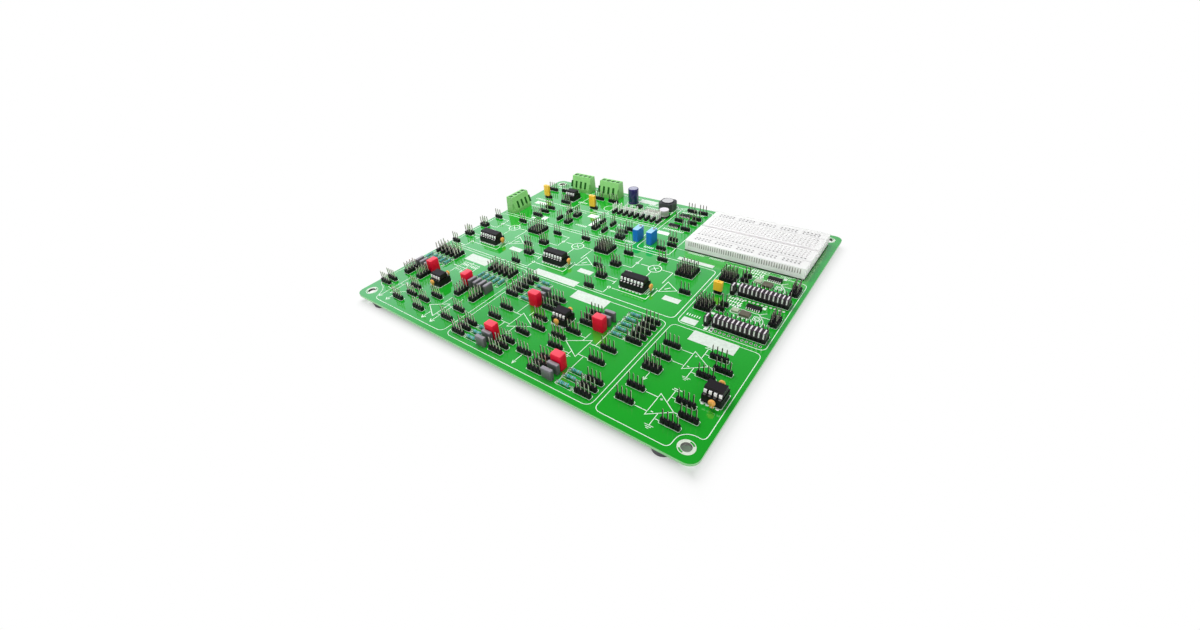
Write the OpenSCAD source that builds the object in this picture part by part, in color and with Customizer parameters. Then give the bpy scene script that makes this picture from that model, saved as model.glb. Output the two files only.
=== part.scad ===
// Analog electronics lab kit: a large green printed circuit board on four
// rubber feet. It carries filter, amplifier, inverter, multiplier, converter
// and power sections, three terminal blocks and a small plug-in breadboard.
// Positions are shares of the board's width and depth from its near left
// corner, so every piece keeps its place when the board's size is changed.

/* [Board] */
// board width, left to right
board_w = 260; // [250:1:330]
// board depth, front to back
board_d = 235; // [228:1:320]
// board thickness
board_t = 1.6; // [1:0.1:3.2]
// board corner radius
corner_r = 6; // [2:0.5:8]
// distance of each mounting hole from the two edges beside it
hole_inset = 8; // [6:0.5:10]
// mounting hole diameter
hole_d = 5.4; // [2.5:0.1:5.6]
// outer diameter of the tinned ring round a mounting hole
ring_d = 8.6; // [7:0.1:10]
// how far a tinned ring stands proud of the board
ring_t = 0.06; // [0.03:0.01:0.2]

/* [Feet] */
// foot diameter where it meets the board
foot_d = 13; // [8:0.5:13]
// foot height
foot_h = 6; // [4:0.5:15]
// distance of each foot's centre from the side edges
foot_inset_x = 19; // [18:0.5:40]
// distance of each foot's centre from the front and back edges
foot_inset_y = 7; // [6.5:0.5:8]

/* [Pin strips] */
// pin pitch of all strips and sockets
pitch = 2.54; // [2:0.01:2.54]
// height of a strip's plastic body
strip_h = 2.5; // [1.5:0.1:3]
// cut at the upright corners of a strip
notch = 0.42; // [0.1:0.01:0.5]
// side of a square pin
pin_side = 0.64; // [0.4:0.01:0.8]
// height of a pin's tip above the board
pin_h = 8.6; // [7:0.1:12]
// free space round a pin in its strip
pin_fit = 0.02; // [0.01:0.01:0.05]
// height of a solder cone below the board
joint_h = 1.2; // [0.5:0.1:2]
// diameter of a solder cone where it meets the board
joint_d = 1.7; // [1:0.1:1.8]

/* [Chips] */
// height of a chip socket
socket_h = 4.5; // [3:0.1:6]
// outer width of a chip socket across its two rows
socket_w = 10.16; // [9.5:0.01:11]
// spacing of the two rows of chip legs
row_span = 7.62; // [7.4:0.01:8]
// width of a chip's body
chip_w = 6.35; // [5:0.05:6.6]
// height of a chip's body
chip_h = 3.2; // [2:0.1:4]
// gap between a chip's body and its socket
chip_lift = 0.8; // [0.2:0.1:1]
// thickness of a chip's legs
leg_t = 0.28; // [0.2:0.01:0.4]
// width of a small surface chip's body
small_chip_w = 3.9; // [3:0.1:5]
// length of a small surface chip's body
small_chip_l = 8.6; // [8:0.1:10]
// height of a small surface chip's body
small_chip_h = 1.5; // [1:0.1:2]

/* [Capacitors and resistors] */
// length of a film capacitor
film_l = 7.2; // [5:0.1:7.4]
// width of a red film capacitor
red_w = 5.2; // [3:0.1:5.6]
// height of a red film capacitor
red_h = 10; // [6:0.1:14]
// width of a grey film capacitor
grey_w = 2.5; // [2:0.1:3]
// height of a grey film capacitor
grey_h = 6.5; // [4:0.1:9]
// diameter of a disc capacitor
disc_d = 3.8; // [3:0.1:6]
// thickness of a disc capacitor
disc_t = 2.2; // [1.5:0.1:2.4]
// gap between a disc capacitor and the board
disc_lift = 2.2; // [0.4:0.1:3]
// diameter of a resistor's body
resistor_d = 2.2; // [1.5:0.1:2.6]
// length of a resistor's body
resistor_l = 6.3; // [4:0.1:7]
// distance between the two leads of a resistor
resistor_span = 10; // [9:0.1:10.5]
// diameter of the leads of resistors and capacitors
lead_d = 0.6; // [0.4:0.05:0.8]
// gap between a resistor's body and the board
resistor_lift = 0.3; // [0.1:0.1:1]

/* [Terminal blocks] */
// distance between neighbouring terminal screws
pole_pitch = 5.08; // [5:0.01:5.4]
// depth of a terminal block at its base
block_d = 10.4; // [10:0.1:12]
// height of a terminal block
block_h = 14.2; // [13:0.1:18]
// how far the face towards the board's middle leans back at the top
inner_lean = 3.1; // [1:0.1:3.4]
// how far the outer face leans back at the top
outer_lean = 1; // [0.2:0.1:1.6]
// travel of a wire clamp
clamp_travel = 2.5; // [1.5:0.1:3]
// diameter of a terminal screw's head
screw_head_d = 3.8; // [3.2:0.1:3.8]
// diameter of a terminal screw's shank
shank_d = 2.4; // [1.6:0.1:2.6]
// running clearance of screws and clamps on each side
run_gap = 0.1; // [0.05:0.01:0.1]

/* [Caps and trimmers] */
// width of a yellow pull-off cap
cap_w = 5.5; // [4.4:0.1:5.6]
// depth of a yellow pull-off cap
cap_d = 2.9; // [2:0.1:3]
// height above the board of the two tall yellow caps
tall_cap_top = 12.2; // [10:0.1:14]
// height above the board of the low yellow cap
low_cap_top = 8.6; // [7:0.1:12]
// height above the board of a black bridging cap
bridge_top = 6.7; // [5:0.1:8]
// width of a trimmer, left to right
trimmer_w = 4.6; // [4:0.1:7]
// depth of a trimmer
trimmer_d = 9.5; // [6:0.1:12]
// height of a trimmer
trimmer_h = 10; // [6:0.1:12]
// diameter of a trimmer's adjusting screw
adjust_d = 2.2; // [1.5:0.1:2.6]

/* [Power parts] */
// diameter of the tall electrolytic capacitor
can_d = 9; // [6:0.5:12]
// height of the tall electrolytic capacitor
can_h = 13.5; // [8:0.5:20]
// diameter of the low electrolytic capacitor
low_can_d = 8; // [5:0.5:9]
// height of the low electrolytic capacitor
low_can_h = 6.4; // [4:0.1:10]
// side of the square coil
coil_w = 12.5; // [8:0.5:14]
// height of the square coil
coil_h = 7.8; // [4:0.1:10]

/* [Breadboard] */
// breadboard length, left to right
bread_l = 82.5; // [80:0.5:86]
// breadboard depth
bread_d = 54; // [51:0.1:56]
// height of the breadboard's body
bread_h = 7.7; // [6:0.1:10]
// thickness of the foam pad below the breadboard
foam_t = 0.8; // [0.4:0.1:2]
// side of a contact hole
contact_side = 1.2; // [0.8:0.1:1.4]
// depth of a contact hole
contact_depth = 5; // [3:0.1:5.5]

/* [Hidden] */
board_top = foot_h + board_t;
over = board_t / 8;
seat_gap = 0.02;
cut_share = 0.1;
foot_low_share = 0.82;
foot_round_share = 0.12;
short_pin_drop = 0.5;
leg_shoulder = pitch * 0.6;
leg_w = pitch * 0.22;
leg_depth = socket_h / 2;
chip_bevel = chip_w * 0.05;
chip_notch_share = 0.24;
disc_profile_shares = [[0, -1], [0.6, -1], [0.86, -0.7], [1, 0], [0.86, 0.7], [0.6, 1], [0, 1]];
resistor_profile_shares = [[0, -1], [0.7, -1], [1, -0.88], [1, -0.62], [0.84, -0.5],
                           [0.84, 0.5], [1, 0.62], [1, 0.88], [0.7, 1], [0, 1]];
can_profile_shares = [[0, 0], [0.92, 0], [1, 0.03], [1, 0.1], [0.92, 0.14], [1, 0.18],
                      [1, 0.97], [0.94, 1], [0.8, 1], [0.76, 0.98], [0, 0.98]];
low_can_profile_shares = [[0, 0.2], [0.97, 0.2], [0.97, 0.28], [0.88, 0.34], [0.97, 0.4],
                          [1, 0.46], [1, 0.95], [0.93, 1], [0, 1]];
low_base_share = 0.2;
low_base_w = low_can_d * 1.04;
block_knee_share = 0.21;
cavity_w = pole_pitch * 0.827;
cage_w = cavity_w - 2 * run_gap;
cage_d = block_d * 0.346;
cage_wall = cage_w / 8;
screw_y = block_d * 0.09;
floor_t = block_h * 0.056;
cage_low = floor_t + 2 * run_gap;
head_z = block_h * 0.845;
head_h = block_h * 0.113;
cavity_top = head_z - floor_t;
cage_h = cavity_top - run_gap - clamp_travel - cage_low;
nut_t = cage_h * 0.158;
bar_t = floor_t;
bar_w = cage_w * 0.6;
bar_top = cage_low + cage_h - nut_t - 2 * run_gap;
bar_low = bar_top - bar_t;
bar_y = screw_y - cage_d / 2 - bar_t * 1.9;
entry_w = cavity_w * 0.76;
entry_low = floor_t * 2.2;
entry_top = bar_low - run_gap * 4;
marker_w = pole_pitch * 0.24;
marker_depth = block_d * 0.3;
marker_low = block_h * 0.21;
marker_top = block_h * 0.6;
slot_w = head_h / 2;
adjust_x_share = 0.1;
adjust_y_share = 0.28;
adjust_deep = adjust_d * 0.7;
adjust_proud = adjust_d * 0.2;
coil_cut = coil_w * 0.16;
coil_disc_d = coil_w * 0.8;
coil_disc_share = 0.12;
bread_columns = 30;
bread_rows = [-5.5, -4.5, -3.5, -2.5, -1.5, 1.5, 2.5, 3.5, 4.5, 5.5];
rail_rows = [-8.8, -7.8, 7.8, 8.8];
rail_group = 5;
rail_groups = 5;
channel_w = pitch * 1.1;
rail_line_rows = [-6.65, 6.65];
rail_line_w = pitch * 0.16;

cap_tops = [tall_cap_top, tall_cap_top, low_cap_top];
cap_fit = seat_gap * 3;
probe_w_share = 0.24;
probe_d_share = 0.34;
probe_deep = short_pin_drop * 1.4;
small_lift = small_chip_h * 0.1;
small_leg_w = leg_w * 0.7;
small_leg_out = small_chip_w / 4;
small_leg_count = 7;

// each strip: share of width, share of depth, pins along x, pins along y
filter_places = [
    [0.031, 0.087, 4, 1], [0.031, 0.11, 4, 1], [0.129, 0.053, 4, 1], [0.149, 0.087, 4, 1],
    [0.2, 0.087, 4, 1], [0.129, 0.119, 4, 1], [0.218, 0.051, 4, 1], [0.218, 0.118, 4, 1],
    [0.317, 0.107, 4, 1], [0.317, 0.063, 4, 1], [0.021, 0.318, 1, 4], [0.042, 0.318, 1, 4],
    [0.062, 0.318, 1, 4], [0.082, 0.318, 1, 4], [0.102, 0.318, 1, 4], [0.246, 0.319, 1, 4],
    [0.265, 0.319, 1, 4], [0.285, 0.319, 1, 4], [0.304, 0.319, 1, 4], [0.323, 0.319, 1, 4],
    [0.041, 0.175, 2, 4], [0.096, 0.175, 2, 4], [0.258, 0.174, 2, 4], [0.314, 0.174, 2, 4]];
amplifier_places = [
    [0.386, 0.037, 4, 1], [0.386, 0.059, 4, 1], [0.386, 0.082, 4, 1], [0.386, 0.241, 4, 1],
    [0.386, 0.264, 4, 1], [0.386, 0.287, 4, 1], [0.386, 0.31, 4, 1], [0.386, 0.333, 4, 1],
    [0.509, 0.037, 4, 1], [0.509, 0.059, 4, 1], [0.509, 0.082, 4, 1], [0.509, 0.241, 4, 1],
    [0.509, 0.264, 4, 1], [0.509, 0.287, 4, 1], [0.568, 0.07, 4, 1], [0.625, 0.037, 4, 1],
    [0.625, 0.059, 4, 1], [0.625, 0.082, 4, 1], [0.625, 0.241, 4, 1], [0.625, 0.264, 4, 1],
    [0.625, 0.287, 4, 1], [0.749, 0.037, 4, 1], [0.749, 0.059, 4, 1], [0.749, 0.082, 4, 1],
    [0.749, 0.242, 4, 1], [0.749, 0.265, 4, 1], [0.749, 0.287, 4, 1], [0.749, 0.31, 4, 1],
    [0.749, 0.332, 4, 1], [0.417, 0.183, 4, 1], [0.417, 0.137, 4, 1], [0.518, 0.126, 4, 1],
    [0.538, 0.161, 4, 1], [0.519, 0.195, 4, 1], [0.598, 0.161, 4, 1], [0.616, 0.196, 4, 1],
    [0.614, 0.127, 4, 1], [0.718, 0.186, 4, 1], [0.718, 0.137, 4, 1]];
inverter_places = [
    [0.824, 0.278, 4, 1], [0.824, 0.231, 4, 1], [0.824, 0.117, 4, 1], [0.824, 0.072, 4, 1],
    [0.824, 0.186, 4, 2], [0.924, 0.291, 4, 1], [0.945, 0.257, 4, 1], [0.924, 0.222, 4, 1],
    [0.924, 0.13, 4, 1], [0.944, 0.097, 4, 1], [0.924, 0.063, 4, 1]];
// one multiplier unit, measured from its left input strips, and the unit's starts
unit_places = [
    [0, 0.386, 3, 1], [0, 0.449, 3, 2], [0, 0.524, 3, 2], [0, 0.597, 3, 1],
    [0.099, 0.612, 3, 1], [0.184, 0.588, 5, 5], [0.221, 0.49, 3, 1]];
unit_starts = [0.02, 0.277, 0.535];
multiplier_places = [for (s = unit_starts) for (p = unit_places) [p.x + s, p.y, p[2], p[3]]];
converter_places = [
    [0.82, 0.462, 4, 4], [0.82, 0.616, 4, 4], [0.856, 0.467, 2, 1], [0.857, 0.49, 2, 1],
    [0.857, 0.622, 2, 1], [0.857, 0.647, 2, 1], [0.975, 0.483, 2, 4], [0.976, 0.633, 2, 4]];
// three-row headers whose front two rows carry black bridging caps
bridged_places = [
    [0.924, 0.408, 12, 3], [0.924, 0.566, 12, 3], [0.853, 0.402, 1, 3], [0.853, 0.56, 1, 3]];
power_places = [
    [0.131, 0.68, 4, 1], [0.131, 0.717, 4, 1], [0.132, 0.751, 4, 1], [0.214, 0.697, 1, 3],
    [0.213, 0.755, 1, 3], [0.254, 0.69, 2, 3], [0.252, 0.747, 2, 3], [0.358, 0.698, 2, 3],
    [0.355, 0.745, 1, 3], [0.394, 0.693, 1, 3], [0.394, 0.745, 1, 3], [0.46, 0.676, 3, 2],
    [0.452, 0.712, 3, 1], [0.458, 0.738, 3, 1], [0.6, 0.671, 3, 1], [0.617, 0.706, 3, 1],
    [0.605, 0.739, 3, 1], [0.039, 0.898, 4, 1], [0.093, 0.905, 4, 1], [0.153, 0.818, 4, 1],
    [0.24, 0.905, 4, 1], [0.299, 0.905, 4, 1], [0.346, 0.838, 1, 3], [0.366, 0.838, 1, 3],
    [0.386, 0.838, 1, 3], [0.406, 0.838, 1, 3], [0.426, 0.838, 1, 3], [0.446, 0.838, 1, 3],
    [0.467, 0.838, 1, 3], [0.487, 0.838, 1, 3], [0.507, 0.838, 1, 3], [0.605, 0.957, 3, 1],
    [0.567, 0.957, 3, 1], [0.605, 0.907, 3, 1], [0.605, 0.873, 3, 1], [0.562, 0.872, 3, 1],
    [0.605, 0.823, 3, 1]];
// strips below the yellow caps, and how many pins each has along x
cap_strip_places = [[0.067, 0.829, 3, 1], [0.268, 0.826, 3, 1], [0.8225, 0.535, 2, 1]];
// chips in sockets: share of width, share of depth, legs on each side
chip_places = [
    [0.171, 0.177, 4], [0.569, 0.221, 4], [0.962, 0.177, 4], [0.151, 0.865, 4],
    [0.121, 0.452, 7], [0.378, 0.452, 7], [0.636, 0.452, 7]];
// discs: share of width, share of depth, turn about the vertical
disc_places = [
    [0.171, 0.147, 0], [0.171, 0.207, 0], [0.571, 0.191, 0], [0.571, 0.25, 0],
    [0.967, 0.145, 0], [0.962, 0.207, 0], [0.168, 0.451, 90], [0.425, 0.451, 90],
    [0.683, 0.451, 90]];
// film capacitors: share of width, share of depth, turn about the vertical
red_places = [
    [0.1035, 0.213, 90], [0.245, 0.215, 90], [0.467, 0.076, 0], [0.662, 0.077, 0],
    [0.469, 0.239, 0], [0.662, 0.24, 0]];
grey_places = [
    [0.042, 0.213, 90], [0.062, 0.213, 90], [0.082, 0.213, 90], [0.265, 0.215, 90],
    [0.285, 0.215, 90], [0.304, 0.215, 90], [0.323, 0.215, 90], [0.467, 0.035, 0],
    [0.467, 0.0575, 0], [0.662, 0.035, 0], [0.662, 0.0575, 0], [0.469, 0.264, 0],
    [0.469, 0.287, 0], [0.662, 0.265, 0], [0.662, 0.287, 0]];
// resistors: share of width, share of depth, turn about the vertical
resistor_places = [
    [0.021, 0.268, 90], [0.042, 0.268, 90], [0.062, 0.268, 90], [0.082, 0.268, 90],
    [0.102, 0.268, 90], [0.246, 0.268, 90], [0.265, 0.268, 90], [0.285, 0.268, 90],
    [0.304, 0.268, 90], [0.323, 0.268, 90], [0.43, 0.037, 0], [0.43, 0.059, 0],
    [0.43, 0.082, 0], [0.432, 0.241, 0], [0.432, 0.263, 0], [0.432, 0.285, 0],
    [0.432, 0.308, 0], [0.432, 0.33, 0], [0.704, 0.036, 0], [0.704, 0.06, 0],
    [0.704, 0.082, 0], [0.705, 0.242, 0], [0.705, 0.264, 0], [0.705, 0.286, 0],
    [0.705, 0.309, 0], [0.705, 0.332, 0]];
// terminal blocks: share of width, share of depth, turn about the vertical
block_places = [[0.032, 0.698, 90], [0.141, 0.953, 0], [0.261, 0.953, 0]];
trimmer_places = [[0.511, 0.698], [0.555, 0.7]];
small_chip_places = [[0.918, 0.515], [0.918, 0.668], [0.564, 0.832], [0.564, 0.916]];
// low surface parts: share of width, share of depth, then sizes as shares of a small chip
small_part_places = [
    [0.886, 0.483, 0.52, 0.9, 0.8], [0.91, 0.478, 0.7, 1.3, 1],
    [0.886, 0.638, 0.52, 0.9, 0.8], [0.911, 0.632, 0.7, 1.3, 1],
    [0.4, 0.91, 0.58, 0.9, 1.6]];
coil_place = [0.486, 0.946];
tall_can_place = [0.361, 0.938];
low_can_place = [0.503, 0.885];
bread_place = [0.817, 0.819];

function place(p) = [(p.x - 0.5) * board_w, (p.y - 0.5) * board_d, board_top];

module on_grid(nx, ny) {
    for (i = [0 : nx - 1])
        for (j = [0 : ny - 1])
            translate([(i - (nx - 1) / 2) * pitch, (j - (ny - 1) / 2) * pitch])
                children();
}

module at_corners(x, y) {
    for (sx = [-1, 1])
        for (sy = [-1, 1])
            translate([sx * x, sy * y])
                children();
}

// an outline whose four corners are cut at an angle
module cut_outline(width, depth, cut) {
    polygon([[-width / 2 + cut, -depth / 2], [width / 2 - cut, -depth / 2],
             [width / 2, -depth / 2 + cut], [width / 2, depth / 2 - cut],
             [width / 2 - cut, depth / 2], [-width / 2 + cut, depth / 2],
             [-width / 2, depth / 2 - cut], [-width / 2, -depth / 2 + cut]]);
}

module cut_box(width, depth, height, cut) {
    linear_extrude(height)
        cut_outline(width, depth, cut);
}

module strip(nx, ny) {
    linear_extrude(strip_h)
        difference() {
            cut_outline(nx * pitch, ny * pitch, notch);
            on_grid(nx, ny)
                square(pin_side + 2 * pin_fit, center = true);
        }
}

module strips_of(places) {
    color("#161616")
    for (p = places)
        translate(place(p))
            strip(p[2], p[3]);
}

module pin(height) {
    translate([-pin_side / 2, -pin_side / 2, 0])
        cube([pin_side, pin_side, height]);
}

module circuit_board() {
    color("#12b23c")
    translate([0, 0, foot_h])
        difference() {
            linear_extrude(board_t)
                union() {
                    square([board_w - 2 * corner_r, board_d], center = true);
                    square([board_w, board_d - 2 * corner_r], center = true);
                    at_corners(board_w / 2 - corner_r, board_d / 2 - corner_r)
                        circle(r = corner_r, $fn = 48);
                }
            at_corners(board_w / 2 - hole_inset, board_d / 2 - hole_inset)
                translate([0, 0, -over])
                    cylinder(h = board_t + 2 * over, d = hole_d, $fn = 48);
        }
}

module hole_rings() {
    color("#c9cdd0")
    at_corners(board_w / 2 - hole_inset, board_d / 2 - hole_inset)
        for (z = [foot_h - ring_t, board_top])
            translate([0, 0, z])
                difference() {
                    cylinder(h = ring_t, d = ring_d, $fn = 48);
                    translate([0, 0, -over])
                        cylinder(h = ring_t + 2 * over, d = hole_d, $fn = 48);
                }
}

module rubber_feet() {
    color("#1b1b1d")
    at_corners(board_w / 2 - foot_inset_x, board_d / 2 - foot_inset_y)
        rotate_extrude($fn = 48)
            polygon([[0, 0], [foot_d / 2 * foot_low_share - foot_h * foot_round_share, 0],
                     [foot_d / 2 * foot_low_share, foot_h * foot_round_share],
                     [foot_d / 2, foot_h], [0, foot_h]]);
}

module filter_strips() {
    strips_of(filter_places);
}

module amplifier_strips() {
    strips_of(amplifier_places);
}

module inverter_strips() {
    strips_of(inverter_places);
}

module multiplier_strips() {
    strips_of(multiplier_places);
}

module converter_strips() {
    strips_of(converter_places);
    strips_of(bridged_places);
}

module power_strips() {
    strips_of(power_places);
    strips_of(cap_strip_places);
}

// pins inside a cap end below the cap's closed top
module pins() {
    color("#b9b19a")
    {
        for (p = concat(filter_places, amplifier_places, inverter_places,
                        multiplier_places, converter_places, power_places))
            translate(place(p))
                on_grid(p[2], p[3])
                    pin(pin_h);
        for (p = bridged_places)
            translate(place(p)) {
                translate([0, -pitch / 2, 0])
                    on_grid(p[2], 2)
                        pin(bridge_top - short_pin_drop);
                translate([0, pitch, 0])
                    on_grid(p[2], 1)
                        pin(pin_h);
            }
        for (i = [0 : len(cap_strip_places) - 1])
            translate(place(cap_strip_places[i]))
                on_grid(cap_strip_places[i][2], 1)
                    pin(min(pin_h, cap_tops[i] - short_pin_drop));
    }
}

module solder_joints() {
    color("#b7babd")
    for (p = concat(filter_places, amplifier_places, inverter_places, multiplier_places,
                    converter_places, bridged_places, power_places, cap_strip_places))
        translate(place(p))
            on_grid(p[2], p[3])
                translate([0, 0, -board_t - joint_h])
                    cylinder(h = joint_h, d1 = pin_side, d2 = joint_d, $fn = 16);
}

module chip_sockets() {
    color("#1a1a1b")
    for (p = chip_places)
        translate(place(p))
            chip_socket(p[2]);
}

// a socket frame with open windows between its cross bars and a slot for each leg
module chip_socket(legs) {
    length = legs * pitch;
    windows = floor(legs / 2);
    window_l = length / windows - pitch / 2;
    window_w = row_span - pitch;
    difference() {
        linear_extrude(socket_h)
            difference() {
                square([length, socket_w], center = true);
                for (i = [0 : windows - 1])
                    translate([(i - (windows - 1) / 2) * length / windows, 0])
                        square([window_l, window_w], center = true);
            }
        for (i = [0 : legs - 1])
            for (y = [-row_span / 2, row_span / 2])
                translate([(i - (legs - 1) / 2) * pitch - leg_w / 2 - seat_gap,
                           y - leg_t / 2 - seat_gap, socket_h - leg_depth - seat_gap])
                    cube([leg_w + 2 * seat_gap, leg_t + 2 * seat_gap, socket_h]);
    }
}

module chips() {
    color("#2a2a2c")
    for (p = chip_places)
        translate(place(p))
            translate([0, 0, socket_h + chip_lift])
                chip_body(p[2] * pitch - leg_w, chip_w, chip_h);
}

// a moulded body with leaning sides and a half-round mark at its left end
module chip_body(length, width, height) {
    difference() {
        translate([-length / 2, 0, 0])
            rotate([90, 0, 90])
                linear_extrude(length)
                    polygon([[-width / 2 + chip_bevel, 0], [width / 2 - chip_bevel, 0],
                             [width / 2, (height - leg_t) / 2],
                             [width / 2, (height + leg_t) / 2],
                             [width / 2 - chip_bevel, height],
                             [-width / 2 + chip_bevel, height],
                             [-width / 2, (height + leg_t) / 2],
                             [-width / 2, (height - leg_t) / 2]]);
        translate([-length / 2, 0, height * (1 - cut_share)])
            cylinder(h = height, d = width * chip_notch_share, $fn = 32);
    }
}

// one leg: a wide shoulder out of the body's side, then a narrow blade into the socket
module chip_leg() {
    top = socket_h + chip_lift + (chip_h + leg_t) / 2;
    union() {
        translate([-leg_shoulder / 2, 0, 0])
            rotate([90, 0, 90])
                linear_extrude(leg_shoulder)
                    polygon([[chip_w / 2, top], [(row_span + leg_t) / 2, top],
                             [(row_span + leg_t) / 2, socket_h],
                             [(row_span - leg_t) / 2, socket_h],
                             [(row_span - leg_t) / 2, top - leg_t],
                             [chip_w / 2, top - leg_t]]);
        translate([-leg_w / 2, (row_span - leg_t) / 2, socket_h - leg_depth])
            cube([leg_w, leg_t, leg_depth + chip_lift]);
    }
}

module chip_legs() {
    color("#d6d4cf")
    for (p = chip_places)
        translate(place(p))
            for (i = [0 : p[2] - 1])
                for (turn = [0, 180])
                    translate([(i - (p[2] - 1) / 2) * pitch, 0, 0])
                        rotate([0, 0, turn])
                            chip_leg();
}

module disc_capacitors() {
    color("#e2962f")
    for (p = disc_places)
        translate(place(p))
            translate([0, 0, disc_lift + disc_d / 2])
                rotate([0, 0, p[2]])
                    rotate([90, 0, 0])
                        rotate_extrude($fn = 48)
                            polygon([for (s = disc_profile_shares)
                                     [s.x * disc_d / 2, s.y * disc_t / 2]]);
}

module red_capacitors() {
    color("#cf1030")
    for (p = red_places)
        translate(place(p))
            rotate([0, 0, p[2]])
                cut_box(film_l, red_w, red_h, grey_w * cut_share);
}

module grey_capacitors() {
    color("#77777c")
    for (p = grey_places)
        translate(place(p))
            rotate([0, 0, p[2]])
                cut_box(film_l, grey_w, grey_h, grey_w * cut_share);
}

module resistors() {
    color("#3f9a94")
    for (p = resistor_places)
        translate(place(p))
            translate([0, 0, resistor_lift + resistor_d / 2])
                rotate([0, 0, p[2]])
                    rotate([0, 90, 0])
                        rotate_extrude($fn = 32)
                            polygon([for (s = resistor_profile_shares)
                                     [s.x * resistor_d / 2, s.y * resistor_l / 2]]);
}

// a lead that leaves a resistor's end and turns down to the board
module resistor_lead() {
    axis_z = resistor_lift + resistor_d / 2;
    union() {
        translate([resistor_l / 2, 0, axis_z])
            rotate([0, 90, 0])
                cylinder(h = (resistor_span - resistor_l) / 2, d = lead_d, $fn = 16);
        translate([resistor_span / 2, 0, 0])
            cylinder(h = axis_z + lead_d / 2, d = lead_d, $fn = 16);
    }
}

module part_leads() {
    color("#c4c4c0")
    {
        for (p = resistor_places)
            translate(place(p))
                for (turn = [0, 180])
                    rotate([0, 0, p[2] + turn])
                        resistor_lead();
        for (p = disc_places)
            translate(place(p))
                rotate([0, 0, p[2]])
                    for (x = [-lead_d, lead_d])
                        translate([x, 0, 0])
                            cylinder(h = disc_lift + seat_gap, d = lead_d, $fn = 16);
    }
}

module at_pole(block, pole) {
    translate(place(block_places[block]))
        rotate([0, 0, block_places[block][2]])
            translate([(pole - 3 / 2) * pole_pitch, 0, 0])
                children();
}

module block_outline() {
    knee = block_h * block_knee_share;
    polygon([[-block_d / 2, 0], [block_d / 2, 0], [block_d / 2, knee],
             [block_d / 2 - outer_lean, block_h], [-block_d / 2 + inner_lean, block_h],
             [-block_d / 2, knee]]);
}

// everything that is hollow in one pole of a terminal block
module pole_hollow() {
    translate([-cavity_w / 2, screw_y - cage_d / 2 - run_gap, floor_t])
        cube([cavity_w, cage_d + 2 * run_gap, cavity_top - floor_t]);
    translate([0, screw_y, cavity_top - over])
        cylinder(h = floor_t + 2 * over, d = shank_d + 2 * run_gap, $fn = 48);
    translate([0, screw_y, head_z])
        cylinder(h = block_h, d = screw_head_d + 2 * run_gap, $fn = 48);
    translate([-entry_w / 2, screw_y, entry_low])
        cube([entry_w, block_d, entry_top - entry_low]);
    translate([-bar_w / 2 - seat_gap, bar_y - bar_t / 2 - seat_gap, -over])
        cube([bar_w + 2 * seat_gap, bar_t + 2 * seat_gap, over + bar_top + seat_gap]);
    translate([-bar_w / 2 - seat_gap, bar_y, bar_low - seat_gap])
        cube([bar_w + 2 * seat_gap, screw_y - bar_y, bar_t + 2 * seat_gap]);
}

module terminal_housings() {
    color("#63b257")
    for (b = [0 : len(block_places) - 1])
        difference() {
            translate(place(block_places[b]))
                rotate([0, 0, block_places[b][2]])
                    translate([-2 * pole_pitch, 0, 0])
                        rotate([90, 0, 90])
                            linear_extrude(4 * pole_pitch)
                                block_outline();
            for (pole = [0 : 3])
                at_pole(b, pole)
                    pole_hollow();
            for (edge = [0 : 4])
                at_pole(b, edge - 1 / 2)
                    translate([-marker_w / 2, -block_d / 2 - over, marker_low])
                        cube([marker_w, marker_depth + over, marker_top - marker_low]);
        }
}

module contact_bars() {
    color("#c9c6bd")
    for (b = [0 : len(block_places) - 1])
        for (pole = [0 : 3])
            at_pole(b, pole)
                translate([-bar_w / 2, 0, 0])
                    rotate([90, 0, 90])
                        linear_extrude(bar_w)
                            polygon([[bar_y - bar_t / 2, 0], [bar_y + bar_t / 2, 0],
                                     [bar_y + bar_t / 2, bar_low],
                                     [screw_y + cage_d / 2 - bar_t / 2, bar_low],
                                     [screw_y + cage_d / 2 - bar_t / 2, bar_top],
                                     [bar_y - bar_t / 2, bar_top]]);
}

// a slotted screw that turns in the housing and lifts the clamp on its thread
module terminal_screw(block, pole) {
    color("#b9bcc0")
    at_pole(block, pole)
        translate([0, screw_y, 0])
            union() {
                translate([0, 0, bar_top + 2 * run_gap])
                    cylinder(h = head_z - bar_top - run_gap, d = shank_d, $fn = 48);
                translate([0, 0, head_z])
                    difference() {
                        cylinder(h = head_h, d = screw_head_d, $fn = 48);
                        translate([-screw_head_d, -slot_w / 2, head_h / 2])
                            cube([2 * screw_head_d, slot_w, head_h]);
                    }
            }
}

// a rising cage with a threaded top plate that pulls the wire up to the bar
module wire_clamp(block, pole) {
    color("#c9c6bd")
    at_pole(block, pole)
        translate([0, screw_y, cage_low])
            difference() {
                translate([-cage_w / 2, -cage_d / 2, 0])
                    cube([cage_w, cage_d, cage_h]);
                translate([-cage_w / 2 + cage_wall, -cage_d / 2 - over, cage_wall])
                    cube([cage_w - 2 * cage_wall, cage_d + 2 * over,
                          cage_h - nut_t - cage_wall]);
                translate([0, 0, cage_h - nut_t - over])
                    cylinder(h = nut_t + 2 * over, d = shank_d + run_gap, $fn = 48);
            }
}

module terminal_screw_1() {
    terminal_screw(0, 0);
}

module terminal_screw_2() {
    terminal_screw(0, 1);
}

module terminal_screw_3() {
    terminal_screw(0, 2);
}

module terminal_screw_4() {
    terminal_screw(0, 3);
}

module terminal_screw_5() {
    terminal_screw(1, 0);
}

module terminal_screw_6() {
    terminal_screw(1, 1);
}

module terminal_screw_7() {
    terminal_screw(1, 2);
}

module terminal_screw_8() {
    terminal_screw(1, 3);
}

module terminal_screw_9() {
    terminal_screw(2, 0);
}

module terminal_screw_10() {
    terminal_screw(2, 1);
}

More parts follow.
